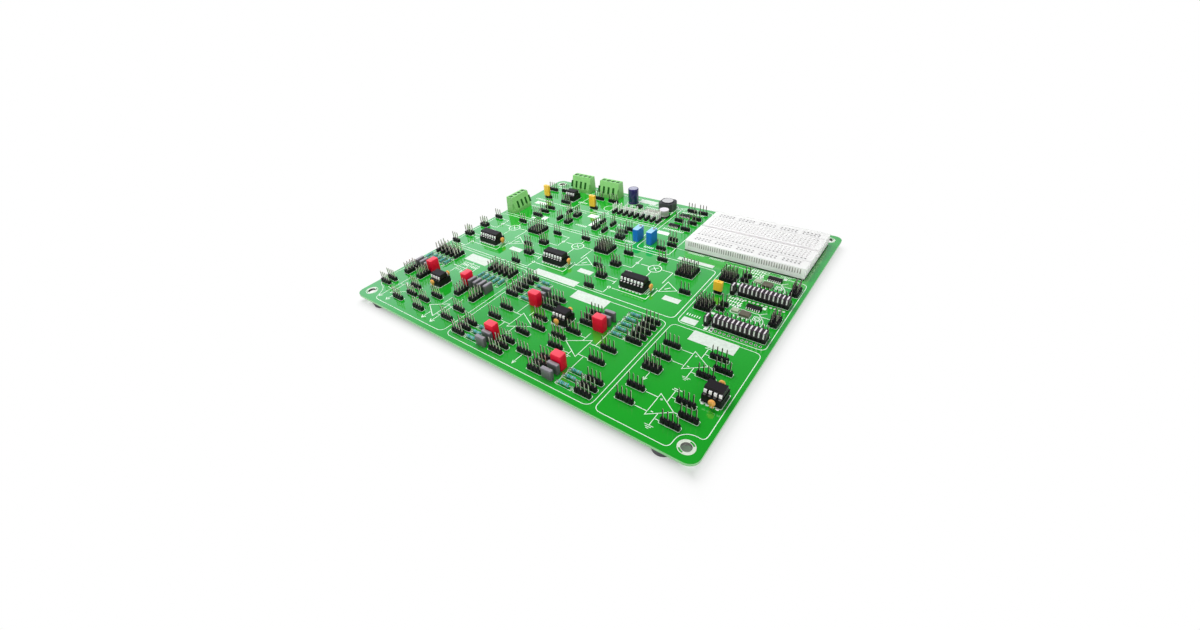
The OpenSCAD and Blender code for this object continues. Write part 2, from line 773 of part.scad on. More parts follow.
module terminal_screw_11() {
    terminal_screw(2, 2);
}

module terminal_screw_12() {
    terminal_screw(2, 3);
}

module wire_clamp_1() {
    wire_clamp(0, 0);
}

module wire_clamp_2() {
    wire_clamp(0, 1);
}

module wire_clamp_3() {
    wire_clamp(0, 2);
}

module wire_clamp_4() {
    wire_clamp(0, 3);
}

module wire_clamp_5() {
    wire_clamp(1, 0);
}

module wire_clamp_6() {
    wire_clamp(1, 1);
}

module wire_clamp_7() {
    wire_clamp(1, 2);
}

module wire_clamp_8() {
    wire_clamp(1, 3);
}

module wire_clamp_9() {
    wire_clamp(2, 0);
}

module wire_clamp_10() {
    wire_clamp(2, 1);
}

module wire_clamp_11() {
    wire_clamp(2, 2);
}

module wire_clamp_12() {
    wire_clamp(2, 3);
}

// a pull-off cap that grips two pins of the strip it stands on
module yellow_cap(index) {
    height = cap_tops[index] - strip_h;
    room = min(pin_h, cap_tops[index] - short_pin_drop) - strip_h + seat_gap;
    shift = (cap_strip_places[index][2] - 2) * pitch / 2;
    color("#f0b414")
    translate(place(cap_strip_places[index]))
        translate([-shift, 0, strip_h])
            difference() {
                cut_box(cap_w, cap_d, height, cap_d * cut_share);
                for (x = [-pitch / 2, pitch / 2])
                    translate([x - pin_side / 2 - cap_fit, -pin_side / 2 - cap_fit, -over])
                        cube([pin_side + 2 * cap_fit, pin_side + 2 * cap_fit, room + over]);
                translate([-cap_w * probe_w_share / 2, -cap_d * probe_d_share / 2,
                           height - probe_deep])
                    cube([cap_w * probe_w_share, cap_d * probe_d_share, height]);
            }
}

module yellow_cap_1() {
    yellow_cap(0);
}

module yellow_cap_2() {
    yellow_cap(1);
}

module yellow_cap_3() {
    yellow_cap(2);
}

// black bridging caps over the front two pins of every column
module bridge_caps() {
    bridge_w = pitch - 2 * cap_fit;
    color("#1d1c1c")
    for (p = bridged_places)
        translate(place(p))
            for (i = [0 : p[2] - 1])
                translate([(i - (p[2] - 1) / 2) * pitch, -pitch / 2, strip_h])
                    difference() {
                        translate([-bridge_w / 2, -pitch + cap_fit, 0])
                            cube([bridge_w, 2 * pitch - 2 * cap_fit, bridge_top - strip_h]);
                        for (y = [-pitch / 2, pitch / 2])
                            translate([-pin_side / 2 - pin_fit, y - pin_side / 2 - pin_fit, -over])
                                cube([pin_side + 2 * pin_fit, pin_side + 2 * pin_fit,
                                      over + bridge_top - strip_h - short_pin_drop + seat_gap]);
                    }
}

module small_chips() {
    color("#2a2a2c")
    for (p = small_chip_places)
        translate(place(p))
            translate([0, 0, small_lift])
                chip_body(small_chip_l, small_chip_w, small_chip_h);
}

// one gull-wing leg from the body's side down to the board
module small_leg() {
    top = small_lift + (small_chip_h + leg_t) / 2;
    inner = small_chip_w / 2;
    translate([-small_leg_w / 2, 0, 0])
        rotate([90, 0, 90])
            linear_extrude(small_leg_w)
                polygon([[inner, top - leg_t], [inner + leg_t, top - leg_t], [inner + leg_t, 0],
                         [inner + small_leg_out, 0], [inner + small_leg_out, leg_t],
                         [inner + 2 * leg_t, leg_t], [inner + 2 * leg_t, top], [inner, top]]);
}

module small_chip_legs() {
    color("#d6d4cf")
    for (p = small_chip_places)
        translate(place(p))
            for (i = [0 : small_leg_count - 1])
                for (turn = [0, 180])
                    translate([(i - (small_leg_count - 1) / 2) * pitch / 2, 0, 0])
                        rotate([0, 0, turn])
                            small_leg();
}

module small_parts() {
    color("#8a6b4a")
    for (p = small_part_places)
        translate(place(p))
            cut_box(small_chip_l * p[2], small_chip_w * p[3], small_chip_h * p[4],
                    small_chip_w * cut_share);
}

module trimmer_bodies() {
    color("#2c5f9e")
    for (p = trimmer_places)
        translate(place(p))
            difference() {
                cut_box(trimmer_w, trimmer_d, trimmer_h, trimmer_d * cut_share / 2);
                translate([trimmer_w * adjust_x_share, trimmer_d * adjust_y_share,
                           trimmer_h - adjust_deep])
                    cylinder(h = trimmer_h, d = adjust_d + 2 * run_gap, $fn = 48);
            }
}

// the slotted adjusting screw of one trimmer
module trimmer_screw(index) {
    color("#d8c38a")
    translate(place(trimmer_places[index]))
        translate([trimmer_w * adjust_x_share, trimmer_d * adjust_y_share,
                   trimmer_h - adjust_deep])
            difference() {
                cylinder(h = adjust_deep + adjust_proud, d = adjust_d, $fn = 48);
                translate([-adjust_d, -adjust_d * cut_share, adjust_deep])
                    cube([2 * adjust_d, 2 * adjust_d * cut_share, adjust_deep]);
            }
}

module trimmer_screw_1() {
    trimmer_screw(0);
}

module trimmer_screw_2() {
    trimmer_screw(1);
}

module coil() {
    color("#2b2a2c")
    translate(place(coil_place))
        union() {
            cut_box(coil_w, coil_w, coil_h * (1 - coil_disc_share), coil_cut);
            cylinder(h = coil_h, d = coil_disc_d, $fn = 64);
        }
}

module tall_capacitor() {
    color("#1f2050")
    translate(place(tall_can_place))
        rotate_extrude($fn = 64)
            polygon([for (s = can_profile_shares) [s.x * can_d / 2, s.y * can_h]]);
}

module low_capacitor() {
    color("#c3c5c8")
    translate(place(low_can_place))
        union() {
            cut_box(low_base_w, low_base_w, low_can_h * low_base_share, low_base_w * cut_share);
            rotate_extrude($fn = 64)
                polygon([for (s = low_can_profile_shares)
                         [s.x * low_can_d / 2, s.y * low_can_h]]);
        }
}

module contact_hole() {
    square(contact_side, center = true);
}

// white body: solid foot, then a layer with all contact holes and grooves
module breadboard() {
    low_h = bread_h - contact_depth;
    color("#f2f2ee")
    translate(place(bread_place))
        translate([0, 0, foam_t])
            union() {
                linear_extrude(low_h)
                    square([bread_l, bread_d], center = true);
                translate([0, 0, low_h])
                    linear_extrude(contact_depth)
                        difference() {
                            square([bread_l, bread_d], center = true);
                            square([bread_l + over, channel_w], center = true);
                            for (row = rail_line_rows)
                                translate([0, row * pitch])
                                    square([bread_l + over, rail_line_w], center = true);
                            for (row = bread_rows)
                                for (i = [0 : bread_columns - 1])
                                    translate([(i - (bread_columns - 1) / 2) * pitch, row * pitch])
                                        contact_hole();
                            for (row = rail_rows)
                                for (g = [0 : rail_groups - 1])
                                    for (i = [0 : rail_group - 1])
                                        translate([((g - (rail_groups - 1) / 2) * (rail_group + 1)
                                                    + i - (rail_group - 1) / 2) * pitch,
                                                   row * pitch])
                                            contact_hole();
                        }
            }
}

module foam_pad() {
    color("#d9d6cc")
    translate(place(bread_place))
        linear_extrude(foam_t)
            square([bread_l, bread_d], center = true);
}

circuit_board();
hole_rings();
rubber_feet();
filter_strips();
amplifier_strips();
inverter_strips();
multiplier_strips();
converter_strips();
power_strips();
pins();
solder_joints();
chip_sockets();
chips();
chip_legs();
disc_capacitors();
red_capacitors();
grey_capacitors();
resistors();
part_leads();
terminal_housings();
contact_bars();
terminal_screw_1();
terminal_screw_2();
terminal_screw_3();
terminal_screw_4();
terminal_screw_5();
terminal_screw_6();
terminal_screw_7();
terminal_screw_8();
terminal_screw_9();
terminal_screw_10();
terminal_screw_11();
terminal_screw_12();
wire_clamp_1();
wire_clamp_2();
wire_clamp_3();
wire_clamp_4();
wire_clamp_5();
wire_clamp_6();
wire_clamp_7();
wire_clamp_8();
wire_clamp_9();
wire_clamp_10();
wire_clamp_11();
wire_clamp_12();
yellow_cap_1();
yellow_cap_2();
yellow_cap_3();
bridge_caps();
small_chips();
small_chip_legs();
small_parts();
trimmer_bodies();
trimmer_screw_1();
trimmer_screw_2();
coil();
tall_capacitor();
low_capacitor();
breadboard();
foam_pad();
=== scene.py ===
"""Analog electronics lab kit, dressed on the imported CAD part."""
import math

import bpy
import numpy as np
from mathutils import Matrix


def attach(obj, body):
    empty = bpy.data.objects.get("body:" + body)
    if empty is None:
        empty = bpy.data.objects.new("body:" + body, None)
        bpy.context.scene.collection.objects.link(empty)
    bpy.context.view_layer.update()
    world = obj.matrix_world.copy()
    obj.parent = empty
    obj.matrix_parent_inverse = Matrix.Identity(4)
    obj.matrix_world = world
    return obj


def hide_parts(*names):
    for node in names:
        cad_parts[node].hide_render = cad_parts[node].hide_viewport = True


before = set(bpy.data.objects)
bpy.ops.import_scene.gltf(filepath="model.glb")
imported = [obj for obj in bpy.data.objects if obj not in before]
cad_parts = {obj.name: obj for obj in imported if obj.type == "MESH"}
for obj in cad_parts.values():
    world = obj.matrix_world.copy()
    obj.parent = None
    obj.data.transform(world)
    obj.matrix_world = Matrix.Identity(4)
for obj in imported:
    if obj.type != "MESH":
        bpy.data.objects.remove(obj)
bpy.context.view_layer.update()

# The board is a glass-fibre plate 1.6 mm thick, under a smooth and glossy
# lacquer of saturated green. Its sawn edges stay bare and paler. All other
# pieces are soldered or glued to it.
BOARD_WIDE, BOARD_DEEP, BOARD_TOP = 260.0, 235.0, 7.6
PER_WIDE, PER_DEEP = BOARD_WIDE / 100, BOARD_DEEP / 100
MIDDLE = (BOARD_WIDE / 2, BOARD_DEEP / 2)
LACQUER_GREEN = (0.011, 0.375, 0.020)
SAWN_GREEN = (0.12, 0.46, 0.12)


def fresh(tree, *kinds):
    """New shader nodes of these kinds."""
    return [tree.nodes.new("ShaderNode" + kind) for kind in kinds]


def reckon(tree, operation, *terms):
    """A Math node over numbers and sockets; its result is what is returned."""
    node = fresh(tree, "Math")[0]
    node.operation = operation
    for slot, term in zip(node.inputs, terms):
        if isinstance(term, float):
            slot.default_value = term
        else:
            tree.links.new(term, slot)
    return node.outputs[0]


def dial(node, values):
    """Sets inputs of a node, by name."""
    for socket, value in values.items():
        node.inputs[socket].default_value = value


def wired(tree, *links):
    """Links nodes, each link given as node, output, node, input."""
    for giver, output, taker, entry in links:
        tree.links.new(giver.outputs[output], taker.inputs[entry])


def effect_group(name, inputs, outputs):
    """A shader group whose sockets are given by name and kind; its input and output nodes come with it."""
    group = bpy.data.node_groups.new(name, "ShaderNodeTree")
    for way, sockets in (("INPUT", inputs), ("OUTPUT", outputs)):
        for label, kind in sockets.items():
            group.interface.new_socket(label, in_out=way, socket_type="NodeSocket" + kind)
    return group, group.nodes.new("NodeGroupInput"), group.nodes.new("NodeGroupOutput")


def grain_group():
    """Noise n in 0 to 1: colour x (1 + 4 mottle (n - 1/2)), roughness + 0.12 (n - 1/2), and n as relief."""
    group, given, out = effect_group("moulding_grain",
        {"Colour": "Color", "Scale": "Float", "Mottle": "Float", "Roughness": "Float", "Relief": "Float"},
        {"Colour": "Color", "Roughness": "Float", "Normal": "Vector"})
    place, noise, tint, relief = fresh(group, "TexCoord", "TexNoise", "Mix", "Bump")
    dial(noise, {"Detail": 4.0})
    dial(relief, {"Distance": 0.0002})
    tint.data_type, tint.blend_type, tint.inputs[0].default_value = "RGBA", "MULTIPLY", 1.0
    swing = reckon(group, "SUBTRACT", noise.outputs["Fac"], 0.5)
    shade = reckon(group, "MULTIPLY", swing, given.outputs["Mottle"])
    gloss = reckon(group, "MULTIPLY_ADD", swing, 0.12, given.outputs["Roughness"])
    group.links.new(reckon(group, "MULTIPLY_ADD", shade, 4.0, 1.0), tint.inputs[7])
    group.links.new(gloss, out.inputs["Roughness"])
    wired(group, (place, "Object", noise, "Vector"), (given, "Scale", noise, "Scale"),
        (given, "Colour", tint, 6), (tint, 2, out, "Colour"), (given, "Relief", relief, "Strength"),
        (noise, "Fac", relief, "Height"), (relief, "Normal", out, "Normal"))
    return group


moulding_grain = grain_group()


def finish(name, colour, rough, metal=0.0, coat=0.0, scale=700.0, mottle=0.06, relief=0.04, sheen=0.5):
    """A finish of one colour, with the grain over its colour, gloss and relief."""
    made = bpy.data.materials.new(name)
    made.use_nodes = True
    tree = made.node_tree
    shader, grain = tree.nodes["Principled BSDF"], fresh(tree, "Group")[0]
    grain.name, grain.node_tree = "grain", moulding_grain
    dial(grain, {"Colour": (*colour, 1.0), "Scale": scale, "Mottle": mottle, "Roughness": rough,
        "Relief": relief})
    dial(shader, {"Metallic": metal, "Coat Weight": coat, "Coat Roughness": 0.06,
        "Specular IOR Level": sheen})
    wired(tree, (grain, "Colour", shader, "Base Color"), (grain, "Roughness", shader, "Roughness"),
        (grain, "Normal", shader, "Normal"))
    return made


def paint(node, material, soften=0.0):
    """Gives a CAD node its finish and, where it is moulded, edges softened by so many mm."""
    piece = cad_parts[node]
    for slot in piece.material_slots:
        slot.material = material
    if soften:
        edge = piece.modifiers.new("edge", "BEVEL")
        edge.width, edge.segments = soften / 1000, 2
        edge.limit_method, edge.angle_limit = "ANGLE", math.radians(35)


def facing_group():
    """Colour = Side + |z of the normal| (Top - Side), so faces that look up take the top colour."""
    group, given, out = effect_group("top_and_sides", {"Top": "Color", "Sides": "Color"}, {"Colour": "Color"})
    facing, apart, tint = fresh(group, "NewGeometry", "SeparateXYZ", "Mix")
    tint.data_type = "RGBA"
    group.links.new(reckon(group, "ABSOLUTE", apart.outputs["Z"]), tint.inputs[0])
    wired(group, (facing, "Normal", apart, 0), (given, "Sides", tint, 6), (given, "Top", tint, 7),
        (tint, 2, out, "Colour"))
    return group


top_and_sides = facing_group()


def facing_tones(made, top, sides):
    """Lets a finish take one colour on top and another on its sides: the board's real sawn edges, and painted
    light and shade on the parts.
    """
    tree = made.node_tree
    tones = fresh(tree, "Group")[0]
    tones.node_tree = top_and_sides
    dial(tones, {"Top": (*top, 1.0), "Sides": (*sides, 1.0)})
    wired(tree, (tones, "Colour", tree.nodes["grain"], "Colour"))
    return made


lacquer = finish("lacquer", LACQUER_GREEN, 0.4, coat=1.0, scale=25.0, mottle=0.05, relief=0.0, sheen=0.0)
facing_tones(lacquer, LACQUER_GREEN, SAWN_GREEN)
dial(lacquer.node_tree.nodes["Principled BSDF"], {"Coat Roughness": 0.03, "Coat IOR": 2.2})
paint("circuit_board", lacquer, 0.2)

# Each corner hole has a ring of tinned copper on both faces of the board. Two
# short windows in the ring show the green lacquer between its solder lands.
paint("hole_rings", finish("tinned_copper", (0.74, 0.82, 0.70), 0.35, metal=0.15, scale=500.0))


def copied(faces, count, corners):
    """The same faces for so many copies, each copy counting on from the corners of those before it."""
    return (faces[None] + np.arange(count)[:, None, None] * corners).reshape(-1, faces.shape[1])


def arcs(centres, radius, width=0.3, sides=24, first=0.0, last=360.0):
    """Bands round places in mm: (radius +- w / 2) (cos a, sin a), with a from first to last."""
    a = np.radians(np.linspace(first, last, sides + 1))
    way = np.stack([np.cos(a), np.sin(a)], 1)
    pair = np.stack([way * (radius + width / 2), way * (radius - width / 2)], 1).reshape(1, -1, 2)
    quads = np.arange(sides)[:, None] * 2 + np.array([0, 2, 3, 1])
    centres = np.asarray(centres, float).reshape(-1, 2)
    return (centres[:, None] + pair).reshape(-1, 2), copied(quads, len(centres), 2 * sides + 2)


def placed(name, data):
    """A new object in the scene."""
    made = bpy.data.objects.new(name, data)
    bpy.context.scene.collection.objects.link(made)
    return made


def put(name, corners, faces, materials, body="lab_board", stands_for=(), slot=None, smooth=0.0, pick=None,
        along=None):
    """Makes one piece of corners in mm and faces, and lets it ride on a body."""
    mesh = bpy.data.meshes.new(name)
    mesh.from_pydata((np.asarray(corners) / 1000).tolist(), [], faces)
    for material in materials:
        mesh.materials.append(material)
    if pick is not None:
        mesh.polygons.foreach_set("material_index", pick)
    if along is not None:
        mesh.attributes.new("along", "FLOAT", "POINT").data.foreach_set("value", along.astype(np.float32))
    if smooth:
        mesh.shade_smooth()
        mesh.set_sharp_from_angle(angle=math.radians(smooth))
    mesh.update()
    piece = placed(name, mesh)
    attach(piece, body)
    if stands_for:
        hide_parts(*stands_for)
    return piece


INK_THICK = 0.03


def joined(*shapes):
    """Several shapes as one: the faces of each count on from the corners before it."""
    first = np.cumsum([0] + [len(corners) for corners, faces in shapes])
    every = [part + start for (corners, faces), start in zip(shapes, first) for part in faces]
    return np.vstack([corners for corners, faces in shapes]), every


def printed(name, parts, ink, rise=INK_THICK, slot="board_green"):
    """Flat parts as one piece: (x, y) from the near left corner goes to (x, y) - middle, on the board."""
    flat, quads = joined(*((corners, [quads]) for corners, quads in parts))
    put(name, np.column_stack([flat - MIDDLE, np.full(len(flat), BOARD_TOP + rise)]),
        np.vstack(quads).tolist(), [ink], slot=slot)


HOLES = [(x, y) for y in (8.0, 227.0) for x in (8.0, 252.0)]
LINING_RADIUS, LINING_FOOT, LINING_TOP = 2.68, 6.0, 7.62
WINDOW_RADIUS, WINDOW_WIDE, WINDOW_HALF_TURN, WINDOW_RISE = 3.42, 0.85, 25.0, 0.1


def lining(centres, radius, low, high, sides=32):
    """The wall of a hole seen from inside: (r cos a, r sin a) at both heights, facing the axis."""
    a = np.arange(sides) * 2 * np.pi / sides
    rim = np.asarray(centres)[:, None] - MIDDLE + radius * np.stack([np.cos(a), np.sin(a)], 1)[None]
    corners = np.concatenate([np.dstack([rim, np.full(rim.shape[:2], level)]) for level in (low, high)], 1)
    i = np.arange(sides)
    quads = np.stack([i, i + sides, (i + 1) % sides + sides, (i + 1) % sides], 1)
    return corners.reshape(-1, 3), copied(quads, len(centres), 2 * sides).tolist()


# The plated wall inside each hole is real; its dark grey is painted shade inside the hole.
put("hole_linings", *lining(HOLES, LINING_RADIUS, LINING_FOOT, LINING_TOP),
    [finish("hole_plating_shade", (0.22, 0.21, 0.20), 0.4, metal=0.5)], slot="tinned_metal")
windows = [arcs(HOLES, WINDOW_RADIUS, WINDOW_WIDE, 12, turn - WINDOW_HALF_TURN, turn + WINDOW_HALF_TURN)
    for turn in (61.0, 241.0)]
printed("ring_windows", windows, lacquer, WINDOW_RISE, "tinned_metal")

# White ink is screen printed on the lacquer in lines a third of a millimetre
# wide or more. It borders the sections and draws each circuit, and plain short
# ticks stand for the small marks.
print_ink = finish("print_ink", (0.82, 0.94, 0.84), 0.5, scale=900.0, mottle=0.04)


def mm(points):
    """Per cent of the board's width and depth to mm from its near left corner."""
    return np.asarray(points, float).reshape(-1, 2) * (PER_WIDE, PER_DEEP)


def bent(points, radius, closed=False):
    """Corner c becomes (1-t)^2 (c + r u) + 2 t (1-t) c + t^2 (c + r v), u and v towards its neighbours."""
    back, ahead = np.roll(points, 1, 0) - points, np.roll(points, -1, 0) - points
    far_back, far_ahead = np.linalg.norm(back, axis=1), np.linalg.norm(ahead, axis=1)
    reach = np.minimum(radius, 0.48 * np.minimum(far_back, far_ahead))[:, None]
    u, v = back / far_back[:, None] * reach, ahead / far_ahead[:, None] * reach
    t = np.linspace(0, 1, 7)[None, :, None]
    curve = points[:, None] + (1 - t) ** 2 * u[:, None] + t ** 2 * v[:, None]
    if closed:
        return curve.reshape(-1, 2)
    return np.vstack([points[:1], curve[1:-1].reshape(-1, 2), points[-1:]])


def band(path, width, closed=False):
    """A flat band along a path: its edges are p +- n w / (2 cos h), n the mean normal and h half the turn."""
    path = np.vstack([path, path[:1]]) if closed else path
    step = np.diff(path, axis=0)
    step /= np.linalg.norm(step, axis=1)[:, None]
    before = np.vstack([step[-1:] if closed else step[:1], step])
    after = np.vstack([step, step[:1] if closed else step[-1:]])
    mean = before + after
    normal = np.stack([-mean[:, 1], mean[:, 0]], 1) / np.maximum(np.linalg.norm(mean, axis=1), 1e-6)[:, None]
    lean = np.clip(np.abs(normal[:, 1] * before[:, 0] - normal[:, 0] * before[:, 1]), 0.5, 1.0)
    offset = normal * (width / 2 / lean)[:, None]
    corners = np.stack([path + offset, path - offset], 1).reshape(-1, 2)
    return corners, np.arange(len(path) - 1)[:, None] * 2 + np.array([1, 3, 2, 0])


def line(*points, width=0.38, closed=False, radius=0.0):
    """A band along places in per cent, its corners rounded by a radius."""
    path = mm(points)
    return band(bent(path, radius, closed) if radius else path, width, closed)


def bold(*points, **how):
    """A line half a millimetre wide."""
    return line(*points, width=0.5, **how)


def strokes(x0, y0, x1, y1, width=0.3):
    """Many short strokes at once, in per cent: a -+ n w / 2 and b -+ n w / 2, n across each."""
    x0, y0, x1, y1 = np.broadcast_arrays(x0, y0, x1, y1)
    a, b = mm(np.stack([x0, y0], -1)), mm(np.stack([x1, y1], -1))
    way = (b - a) / np.linalg.norm(b - a, axis=1)[:, None]
    n = np.stack([-way[:, 1], way[:, 0]], 1) * width / 2
    return np.stack([a - n, b - n, b + n, a + n], 1).reshape(-1, 2), np.arange(len(a) * 4).reshape(-1, 4)


def ticks(x, low, high, lean=0.0, width=0.6):
    """A row of short strokes in per cent, each from (x, low) to (x + lean, high)."""
    return strokes(x, low, x + lean, high, width)


def boxes(*spans):
    """Filled boxes (x0, y0), (x1, y0), (x1, y1), (x0, y1), given in per cent as x0, x1, y0, y1."""
    x0, x1, y0, y1 = np.array(spans, float).T
    corners = np.stack([x0, y0, x1, y0, x1, y1, x0, y1], 1)
    return mm(corners), np.arange(len(spans) * 4).reshape(-1, 4)


def borders(places, sizes, cut=0.5, width=0.26):
    """Borders round places: centre -+ half size, each corner cut, and the same again a line further in."""
    centre, half = mm(places), np.asarray(sizes, float).reshape(-1, 1, 2) / 2
    sign = np.array([(-1, -1), (1, -1), (1, -1), (1, 1), (1, 1), (-1, 1), (-1, 1), (-1, -1)])
    pull = np.array([(1, 0), (-1, 0), (0, 1), (0, -1), (-1, 0), (1, 0), (0, -1), (0, 1)]) * cut
    outer = centre[:, None] + half * sign + pull
    inner = centre[:, None] + (half - width) * sign + pull * (1 - 0.6 * width / cut)
    i = np.arange(8)
    quads = np.stack([2 * i, 2 * ((i + 1) % 8), 2 * ((i + 1) % 8) + 1, 2 * i + 1], 1)
    return np.stack([outer, inner], 2).reshape(-1, 2), copied(quads, len(centre), 16)


def ground(x, y):
    """A ground sign under a line's end: strokes x - r to x + r, 0.4 apart, r = 0.9, 0.6 and 0.3."""
    reach = np.array([0.9, 0.6, 0.3])
    return strokes(x - reach, y - np.arange(3) * 0.4, x + reach, y - np.arange(3) * 0.4, 0.32)


# The near right circuit is two amplifier triangles with their supply lines.
# Its border steps round the mounting hole.
inverter_border = [(78.8, 1.5), (93.6, 1.44), (94.04, 1.65), (94.39, 2.13), (94.49, 2.92), (94.53, 4.04),
    (94.75, 5.01), (95.27, 5.76), (95.96, 6.35), (96.78, 6.66), (97.52, 6.7), (98.11, 6.63), (98.53, 6.73),
    (98.88, 7.21), (98.98, 8.09), (99.0, 35.6), (78.8, 35.6)]
art = [line(*inverter_border, closed=True, radius=4.0)]
art += [line((84.7, y), (87.4, y)) for y in (27.8, 23.2, 11.7, 7.1)]
for low in (22.0, 6.1):
    art += [line((87.35, low + 6.8), (87.35, low), (91.5, low + 3.6), closed=True),
        line((91.5, low + 3.6), (92.5, low + 3.6))]
    art += [bold((87.9, low + y), (88.4, low + y)) for y in (1.4, 5.4)]
    art += [line((88.15, low + 5.1), (88.15, low + 5.7), width=0.4)]
    art += [line((89.3, low + 9.0), (89.3, low + 5.5)), line((89.3, low - 2.0), (89.3, low + 1.8)),
        line((89.3, low + 7.1), (90.4, low + 7.1)), line((89.3, low + 0.1), (90.4, low + 0.1))]
    art += [ground(89.3, low - 2.0), line((88.5, low + 9.2), (90.1, low + 9.2)),
        bold((88.7, low + 9.7), (90.4, low + 9.7))]
art += [line((82.6, 17.2), (82.6, 14.6)), line((82.2, 15.4), (82.6, 14.5), (83.0, 15.4))]
printed("inverter_print", art, print_ink)

# The front middle circuit is an instrument amplifier: two triangles that face
# each other, with resistor places on both sides.
art = [line((36.0, 1.5), (77.8, 1.5), (77.8, 35.4), (36.0, 35.4), closed=True, radius=5.0)]
art += [line((67.0, 19.4), (67.0, 12.5), (62.0, 16.0), closed=True),
    line((46.8, 19.0), (46.8, 12.4), (52.1, 15.8), closed=True)]
art += [line((x, low), (x, high)) for x, low, high in ((68.5, 3.0, 13.7), (68.6, 18.2, 33.5),
    (45.2, 3.0, 13.5), (45.2, 18.1, 23.0), (48.6, 19.0, 21.0), (48.6, 10.6, 14.0), (65.2, 11.9, 13.7),
    (65.2, 18.2, 21.5), (56.8, 2.8, 6.2))]
art += [line((left, y), (right, y)) for left, right, y in ((67.0, 69.6, 18.2), (67.0, 69.6, 13.6),
    (43.6, 46.8, 18.1), (43.6, 46.8, 13.5), (63.6, 65.2, 19.4), (63.6, 65.2, 12.7))]
art += [ground(48.6, 10.6), ground(65.2, 11.9), line((56.4, 3.6), (56.8, 2.6), (57.2, 3.6))]
printed("amplifier_print", art, print_ink)

# The front left circuit is a filter, and its border steps round the near left
# mounting hole.
art = [line((7.2, 1.5), (34.7, 1.5), (34.7, 36.2), (0.9, 36.2), (0.9, 8.8), (2.2, 7.2), (4.4, 6.6),
    (6.2, 4.4), closed=True, radius=5.0)]
for x, high in ((7.2, 14.8), (10.5, 7.2), (25.7, 6.2), (29.0, 14.8)):
    art += [line((x, 3.0), (x, high), width=0.42), line((x - 0.7, 3.7), (x, 2.8), (x + 0.7, 3.7), width=0.6)]
art += [line((8.7, 12.0), (8.7, 5.6), (12.5, 8.8), closed=True, width=0.45),
    bold((27.6, 11.3), (27.6, 4.9), (23.0, 8.0), closed=True)]
art += [line((10.5, 10.6), (10.5, 14.4)), line((25.7, 9.8), (25.7, 13.8)), line((5.4, 7.4), (8.7, 7.4)),
    line((7.2, 10.6), (8.7, 10.6)), line((27.6, 10.5), (29.3, 10.5)), line((27.6, 6.2), (29.3, 6.2))]
art += [bold((14.6, 23.6), (14.6, 30.2), (20.6, 30.2), (20.6, 24.6)), bold((17.4, 24.5), (17.4, 31.2)),
    line((12.4, 27.2), (19.6, 27.2), width=0.45)]
art += [ticks(np.arange(15.2, 20.2, 0.7), 28.4, 29.6, width=0.9),
    ticks(np.arange(15.2, 20.2, 0.9), 25.2, 26.4, 0.4)]
printed("filter_print", art, print_ink)

# The middle section has three alike multipliers: a product sign in a circle,
# an output triangle, and lines between their strips.
UNIT_STARTS = (2.0, 27.7, 53.5)
art = [bold((1.0, 37.3), (78.1, 37.3), (78.1, 63.5), (1.0, 63.5), closed=True, radius=4.0)]
for by in (start - UNIT_STARTS[2] for start in UNIT_STARTS):
    art += [arcs(mm([(63.7 + by, 56.2)]), 4.6, 0.6, 32)]
    art += [bold((62.88 + by, 56.2 - side), (64.52 + by, 56.2 + side)) for side in (0.9, -0.9)]
    art += [bold((59.3 + by, 56.5), (61.8 + by, 56.5)),
        bold((65.4 + by, 56.6), (68.8 + by, 56.6), (68.8 + by, 50.3))]
    art += [bold((63.6 + by, low), (63.6 + by, high)) for low, high in ((54.3, 50.9), (58.6, 60.0))]
    art += [bold((69.8 + by, 51.8), (69.8 + by, 46.2), (73.6 + by, 48.9), closed=True)]
    art += [strokes(70.6 + by, 48.0, 71.6 + by, 49.4, 0.7)]
    art += [bold((68.8 + by, 47.3), (68.8 + by, 41.2), (59.0 + by, 41.2))]
    art += [bold((58.1 + by, low), (58.1 + by, high)) for low, high in ((38.3, 40.3), (43.0, 45.0),
        (53.4, 59.6))]
    art += [bold((55.0 + by, y), (58.0 + by, y)) for y in (59.6, 53.3, 45.9, 44.3, 38.2)]
    art += [borders([(58.1 + by, 41.2), (58.1 + by, 56.5)], (2.6, 2.8), cut=0.9, width=0.55)]
    art += [bold((59.3 + by, 51.4), (57.3 + by, 51.4))]
    art += [ticks(np.arange(67.6, 69.4, 0.6) + by, 43.2, 46.8, width=0.5)]
printed("multiplier_print", art, print_ink)

